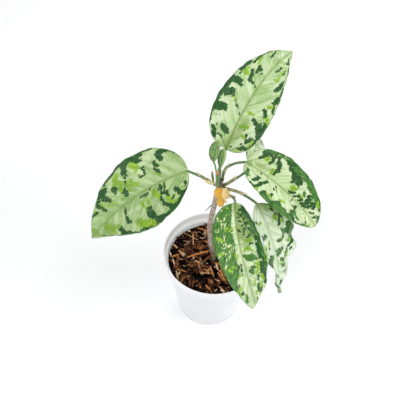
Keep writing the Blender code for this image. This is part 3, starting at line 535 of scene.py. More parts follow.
def bump_at(distance, half_width):
    """A round bump of height 1."""
    return np.exp(-(distance / half_width) ** 2)


def smooth_path(points, samples):
    """Points on a smooth curve through the given ones, and each one's share of the way along."""
    points = np.array(points, float)
    ends = np.vstack([2 * points[0] - points[1], points, 2 * points[-1] - points[-2]])
    place = np.linspace(0, len(points) - 1 - 1e-6, samples + 1)
    span = place.astype(int)
    u = (place - span)[:, None]
    a, b, c, d = (ends[span + step] for step in range(4))
    path = 0.5 * (2 * b + (c - a) * u + (2 * a - 5 * b + 4 * c - d) * u ** 2
                  + (3 * b - a - 3 * c + d) * u ** 3)
    return path, np.linspace(0, 1, samples + 1)


def arch(start, elbow, end, samples):
    """Points on the arch from start to end, pulled towards the elbow."""
    start, elbow, end = (np.array(point, float) for point in (start, elbow, end))
    t = np.linspace(0, 1, samples + 1)[:, None]
    return start * (1 - t) ** 2 + elbow * (2 * t * (1 - t)) + end * t * t


def even_ends(first, steps):
    """Shares from 0 to 1 that crowd together at both ends, the first given as an angle."""
    return (1 - np.cos(np.linspace(first, pi - first, steps + 1))) / 2


def rings(path, radii, around, reference=UP, flat=1.0):
    """Rings of points round a path: a quarter of the way on, each faces the reference direction."""
    along = unit(np.gradient(path, axis=0))
    across = unit(np.cross(along, reference))
    out = np.cross(across, along)
    angle = around_axis(around)
    radii = np.asarray(radii, float)
    radii = np.broadcast_to(radii[:, None] if radii.ndim == 1 else radii, (len(path), around))
    return (path[:, None] + across[:, None] * (radii * np.cos(angle))[..., None]
            + out[:, None] * (flat * radii * np.sin(angle))[..., None])


def rounded(bud, around=40, steps=30, blunt=0.5, margin=0.0):
    """Rings of a rounded body about a straight axis, and each one's share of the way along."""
    first, last = np.array(bud.start, float), np.array(bud.end, float)
    beyond = unit(last - first) * margin
    share = even_ends(0.04, steps)
    path = (first - beyond) + (last - first + 2 * beyond) * share[:, None]
    swell = (4 * share * (1 - share)) ** blunt
    width, depth = bud.half_width + margin, bud.half_depth + margin
    return rings(path, width * swell, around, FACING, depth / width), share


def turned(profile, steps):
    """Rings of a shape turned about Z from a list of (radius, height) points."""
    angle = around_axis(steps)
    profile = np.array(profile, float)
    return np.stack([profile[:, :1] * np.cos(angle), profile[:, :1] * np.sin(angle),
                     np.repeat(profile[:, 1:], steps, 1)], -1)


def body(grid):
    """Points and faces of a closed body from its rings, with a pole at each end."""
    rows, around = grid.shape[:2]
    points = np.vstack([grid.reshape(-1, 3), grid[0].mean(0), grid[-1].mean(0)])
    last = (rows - 1) * around
    faces = []
    for column in range(around):
        after = (column + 1) % around
        for here in range(0, last, around):
            faces.append((here + column, here + after, here + around + after, here + around + column))
        faces.append((rows * around, after, column))
        faces.append((rows * around + 1, last + column, last + after))
    return points, faces


def new_piece(name, points, faces, *looks):
    """A smooth-shaded mesh object from points in millimetres."""
    mesh = bpy.data.meshes.new(name)
    mesh.from_pydata((points * MM).tolist(), [], faces)
    mesh.shade_smooth()
    for look in looks:
        mesh.materials.append(look.material)
    piece = bpy.data.objects.new(name, mesh)
    bpy.context.scene.collection.objects.link(piece)
    return piece


def face_outwards(piece):
    bm = bmesh.new()
    bm.from_mesh(piece.data)
    bmesh.ops.recalc_face_normals(bm, faces=bm.faces)
    bm.to_mesh(piece.data)
    bm.free()


def attribute(piece, name, values):
    """Stores one number, or three, for each vertex."""
    values = np.asarray(values, np.float32)
    kind, key = ("FLOAT", "value") if values.ndim == 1 else ("FLOAT_VECTOR", "vector")
    piece.data.attributes.new(name, kind, "POINT").data.foreach_set(key, values.ravel())


def in_frame(piece, node):
    """The piece stands for its CAD node, on the one body."""
    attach(piece, "root")
    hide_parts(node)
    return piece


def sheet_piece(name, top, bottom, top_look, bottom_look, **values):
    """A thin closed sheet from two grids of points, with values that both grids share."""
    number = np.arange(top[..., 0].size).reshape(top.shape[:2])
    corners = (number[:-1, :-1], number[1:, :-1], number[1:, 1:], number[:-1, 1:])
    quads = np.stack(corners, -1).reshape(-1, 4)
    rim = np.concatenate([number[0], number[1:, -1], number[-1, -2::-1], number[-2:0:-1, 0]])
    after = np.roll(rim, -1)
    edge = np.stack([rim, after, after + number.size, rim + number.size], -1)
    faces = np.vstack([quads[:, ::-1], quads + number.size, edge])
    points = np.concatenate([top.reshape(-1, 3), bottom.reshape(-1, 3)])
    piece = new_piece(name, points, faces.tolist(), top_look, bottom_look)
    for face in piece.data.polygons[len(quads):]:
        face.material_index = 1
    face_outwards(piece)
    for key, value in values.items():
        flat = value.reshape(number.size, -1).squeeze()
        attribute(piece, key, np.concatenate([flat, flat]))
    return piece


class Shape:
    """A mesh in the making: points in millimetres, faces, and named values for the points."""

    def __init__(self, *grids):
        self.points = np.zeros((0, 3))
        self.faces = []
        self.values = {}
        for grid in grids:
            self.wrap(grid)

    def add(self, points, faces, **values):
        self.faces += [tuple(corner + len(self.points) for corner in face) for face in faces]
        self.points = np.vstack([self.points, points])
        for key, value in values.items():
            value = np.asarray(value, float)
            each = np.broadcast_to(value, (len(points), *value.shape[1:]))
            self.values.setdefault(key, []).append(each)

    def wrap(self, grid, **values):
        """Adds a closed body from its rings; a value is one number, or one for each ring or point of it."""
        capped = {}
        for key, value in values.items():
            value = np.broadcast_to(value, grid.shape[:2])
            capped[key] = [*value.ravel(), value[0].mean(), value[-1].mean()]
        self.add(*body(grid), **capped)

    def piece(self, name, look, node, slot):
        piece = new_piece(name, self.points, self.faces, look)
        face_outwards(piece)
        for key, values in self.values.items():
            attribute(piece, key, np.concatenate(values))
        return in_frame(piece, node)


def carve(piece, cutter, *steps):
    """Applies modifiers, each a kind and its settings; a cut is made with the cutter, which then goes.

    The cutter's faces are turned inwards, so a cut leaves its outline on the surface and opens nothing.
    """
    tool = new_piece("cutter", cutter.points, cutter.faces)
    for kind, settings in steps:
        made = piece.modifiers.new(kind, kind)
        for key, value in settings.items():
            setattr(made, key, value)
        if kind == "BOOLEAN":
            made.object = tool
    seen = piece.evaluated_get(bpy.context.evaluated_depsgraph_get())
    piece.data = bpy.data.meshes.new_from_object(seen)
    piece.modifiers.clear()
    bpy.data.objects.remove(tool)


# Materials

def rgb(red, green, blue):
    """A screen colour, 0 to 255, as the linear colour that a shader takes."""
    screen = np.array((red, green, blue)) / 255
    linear = np.where(screen <= 0.04045, screen / 12.92, ((screen + 0.055) / 1.055) ** 2.4)
    return *linear, 1.0


def shade(name):
    return rgb(*SHADES[name])


class Wire:
    """A value on its way through a material's nodes."""

    def __init__(self, look, socket):
        self.look = look
        self.socket = socket

    def __add__(self, other):
        return self.look.math("ADD", self, other)

    def __sub__(self, other):
        return self.look.math("SUBTRACT", self, other)

    def __mul__(self, other):
        return self.look.math("MULTIPLY", self, other)

    def step(self, low, high, to_low=0.0, to_high=1.0):
        """A smooth step between two values."""
        inputs = {"Value": self, "From Min": low, "From Max": high, "To Min": to_low, "To Max": to_high}
        return self.look.node("MapRange", "Result", inputs, interpolation_type="SMOOTHSTEP")


class Look:
    """A material in the making, with short calls for its nodes."""

    def __init__(self, name, roughness, **sockets):
        self.material = bpy.data.materials.new(name)
        self.material.use_nodes = True
        self.tree = self.material.node_tree
        self.shader = self.tree.nodes["Principled BSDF"].inputs
        self.colour = None
        for socket, value in {"Roughness": roughness, **sockets}.items():
            self.shader[socket.replace("_", " ")].default_value = value

    def node(self, kind, output, inputs, **settings):
        """Adds a node with its inputs plugged in, and gives one of its outputs."""
        made = self.tree.nodes.new("ShaderNode" + kind)
        for key, value in settings.items():
            setattr(made, key, value)
        for key, value in inputs.items():
            self.plug(made.inputs[key], value)
        return Wire(self, made.outputs[output])

    def plug(self, socket, value):
        if isinstance(value, Wire):
            self.tree.links.new(value.socket, socket)
        else:
            socket.default_value = value

    def math(self, operation, *values):
        return self.node("Math", 0, dict(enumerate(values)), operation=operation)

    def value(self, name, output="Fac"):
        return self.node("Attribute", output, {}, attribute_name=name)

    def place(self):
        return self.node("TexCoord", "Object", {})

    def noise(self, scale=1.0, detail=2.0, rough=0.5, stretch=None, over=None):
        """Noise in the object's own space, or over a vector attribute, drawn out by the stretch."""
        vector = self.value(over, "Vector") if over else self.place()
        if stretch:
            vector = self.node("Mapping", "Vector", {"Vector": vector, "Scale": stretch})
        inputs = {"Vector": vector, "Scale": scale, "Detail": detail, "Roughness": rough}
        return self.node("TexNoise", "Fac", inputs)

    def mix(self, factor, first, second, blend="MIX"):
        inputs = {0: factor, 6: first, 7: second}
        return self.node("Mix", 2, inputs, data_type="RGBA", blend_type=blend)

    def paint(self, colour):
        self.colour = colour
        self.plug(self.shader["Base Color"], colour)

    def coat(self, factor, tone):
        """Lays a tone over the colour so far."""
        self.paint(self.mix(factor, self.colour, tone))

    def bump(self, height, strength, distance):
        inputs = {"Height": height, "Strength": strength, "Distance": distance * MM}
        self.plug(self.shader["Normal"], self.node("Bump", "Normal", inputs))


def coated(name, roughness, grain, relief, base, *coats, **sockets):
    """A look made of a base tone and coats over it.

    The grain is a noise, and the relief gives its strength and its depth in millimetres.  A coat is its
    source, the span of the source that fades the coat in, the coat's greatest share, and its tone.  The
    source is the grain, an attribute or a noise of its own; without a span the coat follows it directly.
    """
    look = Look(name, roughness, **sockets)
    look.paint(rgb(*base))
    relief_grain = look.noise(*grain)
    for source, span, amount, tone in coats:
        if source == "grain":
            driver = relief_grain
        else:
            driver = look.value(source) if isinstance(source, str) else look.noise(*source)
        look.coat(driver.step(*span, 0.0, amount) if span else driver * amount, rgb(*tone))
    look.bump(relief_grain, *relief)
    return look


def blade_look(leaf):
    """Camouflage: jagged dark and lime marks over streaks of sage and cream that follow the veins."""
    # the ground tones hold painted light and shade for each blade
    low, high, share, freckle = GROUND_AND_PAINTED_LIGHT[leaf.name]
    low, high = rgb(*low), rgb(*high)
    look = Look(f"blade_{leaf.name}", 0.46, Specular_IOR_Level=0.3)

    def fibres(across, along, detail=2.0, rough=0.5, deep=1.0):
        """Noise drawn out along the veins."""
        return look.noise(1.0, detail, rough, (across, along, deep), "veins")

    tear = (fibres(1.0, 0.34, 2.5, 0.55) - 0.5) * 3.8 + (look.noise(380.0) - 0.5) * 4.2

    def mask(name, torn=1.0, soft=0.16, amount=1.0):
        """Where the marks of a kind lie, with torn edges."""
        return (look.value(name) + tear * torn).step(-soft, soft, 0.0, amount)

    streaks = fibres(0.42, 0.07, 4.0, 0.58)
    mottle = look.noise(620.0, 3.0, 0.65)
    tone = streaks + look.noise(70.0, 3.0) * 0.7 + mottle * 0.65 + fibres(0.10, 0.02, 1.0) * 0.9
    middle = 1.625 - 0.35 * (share - 0.5)
    look.paint(look.mix(tone.step(middle - 0.26, middle + 0.26), low, high))
    look.coat(mask("olive", 1.8, 1.6, 0.7), shade("olive"))
    look.coat(mask("pale", 2.4, 1.6, 0.55), look.mix(0.5, high, shade("cream")))
    look.coat(fibres(2.4, 0.08).step(0.50, 0.66, 0.0, 0.16), shade("olive"))
    look.coat(look.value("rib_side") * 0.26, shade("rib"))
    # the olive vein lines are partly the veins' own colour and partly painted shade in the creases between
    # the quilts
    look.coat(look.value("line") * 0.5, shade("olive"))
    freckles = fibres(1.3, 0.5, 2.0, 0.7, 2.0)
    limit = 0.74 - 0.16 * freckle
    look.coat(freckles.step(limit, limit + 0.03), shade("dark"))

    mossy = look.mix(fibres(0.5, 0.26, 4.0, 0.7).step(0.40, 0.58), shade("moss"), shade("mid"))
    mossy = look.mix(fibres(0.9, 0.6, 3.0, 0.7).step(0.60, 0.66, 0.0, 0.6), mossy, high)
    dark = look.mix(fibres(0.6, 0.14, 4.0, 0.65).step(0.40, 0.62), shade("darkest"), shade("dark"))
    look.coat(mask("dark_or_mid"), look.mix(mask("mid", 1.2, 1.0, 0.75), dark, mossy))
    flecks = look.value("fleck") + (fibres(0.60, 0.46, 3.0) - 0.55) * 15.0
    look.coat(flecks.step(-0.25, 0.25), look.mix(0.5, high, shade("yolk")))
    lime = look.mix((mottle * 0.5 + streaks * 0.5).step(0.42, 0.56), shade("deep_lime"), shade("lime"))
    look.coat(mask("lime", 0.9), look.mix(mask("olive", 1.8, 1.6, 0.6), lime, shade("deep_lime")))
    look.coat(look.value("edge") * 0.6, shade("moss"))
    look.coat(look.value("rib") * 0.85, shade("rib"))
    look.bump(look.noise(2600.0), 0.12, 0.3)
    return look


def under_look(leaf):
    """The paler, duller underside, where the marks show only faintly."""
    look = Look(f"under_{leaf.name}", 0.6, Specular_IOR_Level=0.3)
    jag = look.noise(1.0, 3.0, 0.5, (0.8, 0.2, 1.0), "veins")
    depth = look.value("dark") + (jag - 0.5) * 3.0
    look.paint(look.mix(depth.step(-0.6, 0.6, 0.0, 0.6), shade("under"), shade("under_dark")))
    look.coat(look.value("line") * 0.6, shade("under_vein"))
    look.coat(look.value("rib"), shade("under_rib"))
    look.bump(look.noise(1800.0), 0.15, 0.3)
    return look


def petiole_look():
    return coated("petiole", 0.4, (500.0, 3.0), (0.15, 0.3), (34, 78, 32),
                  ("grain", (0.35, 0.7), 1.0, (78, 122, 56)),
                  ("side", (0.5, 1.0), 0.5, (128, 160, 92)),
                  ("share", (0.86, 1.0), 0.8, SHADES["olive"]))


def sheath_look():
    fibres = (1.0, 4.0, 0.65, (1.5, 7.0, 1.0), "fibres")
    return coated("dry_sheath", 0.65, fibres, (0.4, 0.3), (134, 130, 88),
                  ("grain", (0.35, 0.65), 1.0, (204, 196, 160)),
                  ((220.0, 3.0), (0.42, 0.62), 0.7, (116, 130, 70)),
                  ("share", (0.66, 0.95), 0.85, (232, 220, 208)))


def pot_look():
    """Thin white plastic: some light passes through its wall."""
    return coated("white_pot", 0.36, (700.0, 2.0), (0.04, 0.3), (251, 251, 255),
                  ((40.0, 3.0), (0.38, 0.62), 1.0, (246, 246, 253)),
                  Subsurface_Weight=0.5, Subsurface_Radius=(1.0, 1.0, 1.0), Subsurface_Scale=0.008)


def bark_look():
    """Each strip has its own tone, streaked along its fibres; the deeper it lies, the darker it is painted,
    as shade among the chips together with the darker damp bark below.
    """
    look = Look("bark", 0.9, Specular_IOR_Level=0.12)
    tone = look.node("ValToRGB", "Color", {"Fac": look.value("tone")})
    elements = tone.socket.node.color_ramp.elements
    while len(elements) < len(BARK_TONES):
        elements.new(0.5)
    for element, (place, colour) in zip(elements, BARK_TONES):
        element.position = place
        element.color = rgb(*colour)
    streak = look.noise(1.0, 5.0, 0.7, (0.25, 2.6, 1.0), "fibres")
    spots = look.noise(900.0, 3.0)
    height = look.node("SeparateXYZ", "Z", {0: look.place()})
    light = streak.step(0.3, 0.7, 0.34, 1.15) + spots.step(0.4, 0.7, -0.15, 0.15)
    # painted shade: from a tenth of the tone at 90 mm up to 1.25 times it at 95 mm, so the gaps read dark
    # and the top chips light
    light = light * height.step(0.0900, 0.0950, 0.10, 1.25)
    look.paint(look.mix(1.0, tone, light, "MULTIPLY"))
    look.bump(streak + spots * 0.5, 0.5, 0.5)
    return look


def trunk_look():
    """Greenish at its foot, greyer at its top in painted shade under the leaves, with brown dried scales."""
    blotch = (160.0, 3.0)
    look = coated("cane", 0.7, (900.0, 4.0, 0.65, (1.0, 1.0, 0.14)), (0.5, 0.4), (138, 112, 98),
                  ("grain", (0.35, 0.65), 1.0, (216, 200, 190)),
                  (blotch, (0.45, 0.65), 0.6, (180, 152, 142)),
                  # painted shade: the top of the cane, under the leaves, is greyed
                  ("height", (0.66, 0.80), 0.45, (158, 152, 156)),
                  ("height", (0.40, 0.28), 0.8, (104, 98, 58)),
                  ("ring", None, 0.4, (220, 204, 190)),
                  ("groove", None, 0.5, (104, 78, 66)))
    scales = look.mix(look.noise(*blotch).step(0.4, 0.6), shade("dry_scale"), shade("pale_scale"))
    look.coat(look.value("dry"), scales)
    return look


def root_look():
    return coated("air_root", 0.7, (700.0, 4.0, 0.6), (0.6, 0.4), (36, 42, 52),
                  ("grain", (0.38, 0.62), 1.0, (74, 84, 96)))


def stalk_look():
    return coated("flower_stalk", 0.5, (500.0, 3.0, 0.5, (1.0, 1.0, 0.3)), (0.3, 0.3), (74, 120, 58),
                  ("grain", (0.35, 0.65), 1.0, (110, 150, 80)),
                  # painted sheen: the stalk's two flanks, as seen from the camera, are painted pale grey
                  ("side", (0.72, 0.96), 1.0, (196, 208, 206)))


def collar_look():
    return coated("dry_collar", 0.6, (900.0, 4.0), (0.5, 0.4), (84, 44, 30),
                  ("share", (0.15, 0.5), 1.0, (222, 150, 100)),
                  ("grain", (0.5, 0.7), 0.6, (160, 90, 50)))


def spathe_look():
    return coated("spathe", 0.42, (620.0, 4.0, 0.7, (1.0, 1.0, 0.3)), (0.15, 0.3), (66, 110, 46),
                  ("grain", (0.36, 0.64), 1.0, (126, 162, 86)),
                  # painted light: the flank where sun is high is painted lighter
                  ("sun", (0.2, 0.9), 0.7, (176, 202, 140)),
                  # painted shade: the lap of the margin is painted dark
                  ("slit", None, 0.85, (36, 72, 30)),
                  ("share", (0.9, 0.99), 1.0, (150, 170, 70)),
                  ("share", (0.02, -0.1), 1.0, (96, 150, 58)))


def hood_look():
    return coated("withered_spathe", 0.36, (420.0, 4.0, 0.65, (1.0, 1.0, 0.4)), (0.5, 0.5), (246, 196, 70),
                  ((240.0, 2.0), (0.48, 0.64), 1.0, (254, 240, 182)),
                  ("swollen", (0.6, 0.0), 1.0, (234, 166, 44)),
                  ("grain", (0.50, 0.68), 0.6, (208, 132, 30)),
                  Subsurface_Weight=0.15)


def bead_look():
    return coated("withered_spadix", 0.32, (700.0, 3.0), (0.2, 0.3), (250, 208, 100),
                  ("tone", None, 1.0, (254, 242, 214)),
                  ("grain", (0.5, 0.7), 0.4, (230, 166, 56)))


def bract_look():
    return coated("dry_bract", 0.6, (600.0, 4.0), (0.4, 0.4), (206, 190, 128),
                  ("grain", (0.4, 0.65), 1.0, (238, 228, 186)),
                  ("green", None, 1.0, (116, 130, 52)),
                  ("amber", None, 1.0, (240, 202, 96)))


# Leaves

def blade_frame(leaf, t):
    """Points of a leaf's midrib and three directions there, at the shares t of its length."""
    heading = np.radians(leaf.heading + leaf.bend * t)
    pitch = np.radians(leaf.rise - leaf.droop * t)
    along = np.stack([np.cos(pitch) * np.cos(heading), np.cos(pitch) * np.sin(heading), np.sin(pitch)], -1)
    level = np.stack([-np.sin(heading), np.cos(heading), np.zeros_like(t)], -1)
    turn = np.radians(leaf.roll + leaf.twist * t)[:, None]
    across = np.cos(turn) * level + np.sin(turn) * np.cross(along, level)
    steps = 0.5 * (along[1:] + along[:-1]) * (np.diff(t)[:, None] * leaf.length)
    centre = np.array(leaf.base, float) + np.vstack([np.zeros(3), np.cumsum(steps, 0)])
    return centre, along, across, np.cross(along, across)


def blade_surface(leaf, t, s):
    """Points of the blade's middle surface for a grid of places, and its reach from the midrib."""
    centre, along, across, above = blade_frame(leaf, t)
    share, side = np.meshgrid(t, s, indexing="ij")
    hand = np.where(side < 0, -1.0, 1.0)
    base_curve = leaf.base_curve * (1 + leaf.skew * hand)
    tip_curve = leaf.tip_curve * (1 - leaf.skew * hand)
    widest = base_curve / (base_curve + tip_curve)
    inner = np.clip(share, *BLADE_ENDS)
    spread = (inner / widest) ** base_curve * ((1 - inner) / (1 - widest)) ** tip_curve
    reach = leaf.half_width * spread * (1 + leaf.lopsided * hand) * side
    fold = radians(leaf.fold)
    shift = np.where(side < 0, WAVE_SHIFT, 0.0)
    ripple = np.sin(2 * pi * leaf.waves * share + shift) * side ** 2 * np.sin(pi * share).clip(0) ** 0.5
    height = np.abs(reach) * sin(fold) + leaf.wave * ripple
    lobe = np.where(side > 0, leaf.lobes[0], leaf.lobes[1])
    back = lobe * side ** 2 * spread * (1 - share) ** 6
    points = (centre[:, None] + across[:, None] * (reach * cos(fold))[..., None]
              + above[:, None] * height[..., None] - along[:, None] * back[..., None])
    return points, reach


def scalloped(middle, share, side):
    """The middle surface with an uneven notch in its margin at each vein."""
    outward = unit(np.gradient(middle, axis=1)) * np.sign(side)[..., None]
    beat = VEINS * share + np.where(side < 0, VEIN_STAGGER, 0.0)
    uneven = 0.6 + 0.4 * np.sin(2.3 * beat + np.where(side < 0, 2.0, 0.0))
    notch = SCALLOP * (np.abs(np.sin(pi * beat)) - 0.6) * uneven
    notch = notch * np.abs(side) ** 5 * np.sin(pi * share).clip(0) ** 0.4
    return middle + outward * notch[..., None]


def stroke_field(leaf, kind, share, side):
    """How deep each place lies inside the nearest stroke, in millimetres; outside it is negative."""
    x, y = share * leaf.length, side * leaf.half_width
    field = np.full(share.shape, NO_MARK)
    for half_width, *places in MARKS.get((leaf.name, kind), ()):
        points = np.reshape(places, (-1, 2)) / 100 * (leaf.length, leaf.half_width)
        ends = points[1:] if len(points) > 1 else points
        for (ax, ay), (bx, by) in zip(points, ends):
            dx, dy = bx - ax, by - ay
            along = ((x - ax) * dx + (y - ay) * dy) / max(dx * dx + dy * dy, 1e-9)
            along = along.clip(0, 1)
            gap = np.hypot(x - ax - along * dx, y - ay - along * dy)
            field = np.maximum(field, half_width - gap)
    return field


def blade(leaf):
    """A closed thin blade with a sunk midrib above, a keel below and quilting between its veins."""
    t = 0.5 * np.linspace(0, 1, BLADE_ROWS + 1) + 0.5 * even_ends(0.0, BLADE_ROWS)
    v = np.linspace(-1, 1, BLADE_COLUMNS + 1)
    s = np.sign(v) * np.abs(v) ** 1.3
    middle, reach = blade_surface(leaf, t, s)
    share, side = np.meshgrid(t, s, indexing="ij")
    middle = scalloped(middle, share, side)
    normal = unit(np.cross(np.gradient(middle, axis=0), np.gradient(middle, axis=1)))

    scale = leaf.length / USUAL_LENGTH
    spacing = leaf.length / VEINS
    distance = np.abs(reach)
    veins = share * leaf.length - distance / np.tan(VEIN_ANGLE) * (1 + 0.3 * np.abs(side))
    along_vein = distance / sin(VEIN_ANGLE) * np.where(side < 0, -1, 1)
    fade = np.clip(distance / VEIN_FADE, 0, 1) * (1 - np.abs(side) ** 3)
    between = np.abs((veins / spacing + np.where(side < 0, VEIN_STAGGER, 0.0)) % 1 - 0.5) * 2
    line = bump_at((1 - between) * spacing, VEIN_WIDTH)
    quilt = scale * fade * (QUILT * (1 - between ** 2) - VEIN_DEPTH * line)
    slim = 1 - TIP_THINNING * share
    shoulder = bump_at(distance - SHOULDER[0] * scale, SHOULDER[1] * scale)
    groove = GROOVE[0] * scale * slim * (bump_at(distance, GROOVE[1] * scale) - 0.6 * shoulder)
    keel = KEEL[0] * scale * slim * bump_at(distance, KEEL[1] * scale)
    half = 0.5 * BLADE_THICKNESS * (1 - MARGIN_THINNING * np.abs(side) ** 4)
    top = middle + normal * (half + quilt - groove)[..., None]
    bottom = middle - normal * (half - quilt + keel)[..., None]

    marks = {kind: stroke_field(leaf, kind, share, side) for kind in MARK_KINDS}
    margin = np.where(side < 0, distance[:, :1], distance[:, -1:]) - distance
    piece = sheet_piece(
        f"{leaf.name}_blade", top, bottom, blade_look(leaf), under_look(leaf), **marks,
        dark_or_mid=np.maximum(marks["dark"], marks["mid"]), line=line * fade, edge=bump_at(margin, 0.8),
        rib=bump_at(distance, 0.75 * scale * slim),
        rib_side=bump_at(distance, 1.8 * scale) + bump_at(share, 0.06),
        veins=np.stack([veins, along_vein, 0 * veins], -1))
    in_frame(piece, f"leaf_{leaf.name}_blade")


def petiole_radius(share):
    return PETIOLE_RADIUS + (PETIOLE_FOOT_RADIUS - PETIOLE_RADIUS) * np.clip(1 - share * 2.5, 0, None)


def petiole(leaf, look):
    """The leaf's stalk, which runs on into the blade's midrib."""
    centre, _, _, above = blade_frame(leaf, np.linspace(0, 0.05, 9))
    path = arch(leaf.foot, leaf.elbow, leaf.base, 70)
    path = np.vstack([path[:-1], centre - above * np.linspace(0.1, 0.7, 9)[:, None]])
    share = np.linspace(0, 1, len(path))[:, None]
    angle = around_axis(24)
    taper = np.clip((1 - share) / 0.12, 0.25, 1) ** 0.7
    flutes = 1 - 0.10 * bump_at(angle - pi / 2, 0.5) + 0.02 * np.sin(5 * angle)
    shape = Shape()
    shape.wrap(rings(path, petiole_radius(share) * taper * flutes, 24), share=share, side=np.sin(angle))
    shape.piece(f"{leaf.name}_petiole", look, f"leaf_{leaf.name}_petiole", "petiole")


def sheath(leaf, look):
    """The papery gutter on the upper side of a petiole, with ragged margins and a free tip."""
    first, last = leaf.sheath
    rows, columns, samples = 60, 28, 200
    path = arch(leaf.foot, leaf.elbow, leaf.base, samples)
    along = unit(np.gradient(path, axis=0))
    level = unit(np.cross(along, UP))
    u = np.linspace(-0.25, 1.06, rows)[:, None]
    share = (first + (last - first) * u).clip(0.01, 0.99)
    index = (share * samples).astype(int)
    path, level, above = path[index], level[index], np.cross(level, along)[index]
    inside = u.clip(0, 1)
    wide, narrow = SHEATH_TURN
    spread = np.radians(wide + (narrow - wide) * inside ** 2)
    lift = petiole_radius(share) + 0.12 + SHEATH_THICKNESS * (0.35 + 0.9 * inside ** 2)
    lift = lift + 0.9 * np.clip((u - 0.72) / 0.3, 0, 1) ** 2
    side = np.linspace(-1, 1, columns)
    wobble = 1 + 0.05 * np.sin(u * 23 + 1) * np.abs(side) ** 3
    closing = np.clip((1.06 - u) / 0.35, 0, 1) ** 0.55
    angle = side * spread * wobble * closing
    radius = lift * (1 + 0.05 * np.sin(9 * angle + 7 * u) + 0.14 * np.abs(side) ** 4)
    out = level * np.sin(angle)[..., None] + above * np.cos(angle)[..., None]
    middle = path + out * radius[..., None]
    thin = 0.11 * (1 - 0.5 * np.abs(side) ** 3)[:, None]
    share, side = np.broadcast_arrays(u, side)
    piece = sheet_piece(f"{leaf.name}_sheath", middle + out * thin, middle - out * thin, look, look,
                        share=share, fibres=np.stack([share, side, 0 * side], -1))
    in_frame(piece, f"leaf_{leaf.name}_sheath")


# Pot, bark and trunk

def wall_radius(height, inset=0.0):
    share = height / (POT_HEIGHT - BAND_HEIGHT)
    return BASE_RADIUS + (WALL_TOP_RADIUS - BASE_RADIUS) * share - inset


def pot():
    """A thin tapered cup with a thicker band, a rounded lip, a foot ring and the outlines of drain holes."""
    band_foot = POT_HEIGHT - BAND_HEIGHT
    band_inside = RIM_RADIUS - LIP_WIDTH
    half = LIP_WIDTH / 2
    lip = [(RIM_RADIUS - half - half * cos(turn), POT_HEIGHT - LIP_ROUND + LIP_ROUND * sin(turn))
           for turn in np.linspace(0, pi, LIP_STEPS)]
    inner_foot = wall_radius(FLOOR, WALL)
    profile = (
        (POLE_RADIUS, FLOOR), (inner_foot - 2.0, FLOOR), (inner_foot - 0.6, FLOOR + 0.3),
        (inner_foot, FLOOR + 1.2), (wall_radius(band_foot - 1.0, WALL), band_foot - 1.0),
        (wall_radius(band_foot, WALL), band_foot + 0.2),
        (band_inside - 1.2, band_foot + 1.4), (band_inside - 0.3, band_foot + 2.6),
        *lip,
        (BAND_RADIUS + 0.2, POT_HEIGHT - 3.0), (BAND_RADIUS, band_foot + POT_EDGE),
        (BAND_RADIUS - 0.15, band_foot + 0.15), (BAND_RADIUS - POT_EDGE, band_foot),
        (WALL_TOP_RADIUS + POT_EDGE, band_foot), (WALL_TOP_RADIUS + 0.1, band_foot - 0.15),
        (WALL_TOP_RADIUS, band_foot - POT_EDGE), (wall_radius(60), 60), (wall_radius(30), 30),
        (wall_radius(1.2), 1.2), (BASE_RADIUS - 0.3, 0.35), (BASE_RADIUS - 1.0, 0.0),
        (BASE_RADIUS - 2.6, 0.0), (BASE_RADIUS - 3.2, FOOT_RING), (POLE_RADIUS, FOOT_RING),
    )
    piece = Shape(turned(profile, POT_STEPS)).piece("nursery_pot", pot_look(), "pot", "white_pot")
    holes = Shape()
    for angle in around_axis(DRAIN_HOLES):
        axis = np.array([(DRAIN_RING * cos(angle), DRAIN_RING * sin(angle), z) for z in (-4.0, 6.0)])
        holes.wrap(rings(axis, DRAIN_RADIUS, 32, SIDEWAYS))
    carve(piece, holes, ("BOOLEAN", {}))


def chip(dice, size, ragged):
    """Rings of one strip of bark: flattened, faceted, and torn at its ends."""
    stations, around = 7, 8
    half = Vector(size) / 2
    grid = np.zeros((stations, around, 3))
    bow = dice.uniform(-0.12, 0.12)
    for row, t in enumerate(np.linspace(-1, 1, stations)):
        taper = 1 - 0.35 * abs(t) ** 3
        for column in range(around):
            angle = 2 * pi * (column + 0.5) / around
            y, z = (copysign(abs(value) ** 0.5, value) * taper for value in (cos(angle), sin(angle)))
            x = t * half.x + (dice.uniform(-1, 1) * 0.16 * half.x if abs(t) == 1 else 0)
            y *= half.y * dice.uniform(1 - 2 * ragged, 1)
            z *= half.z * dice.uniform(1 - 3 * ragged, 1)
            grid[row, column] = (x, y + bow * half.x * (1 - t * t), z)
    return grid


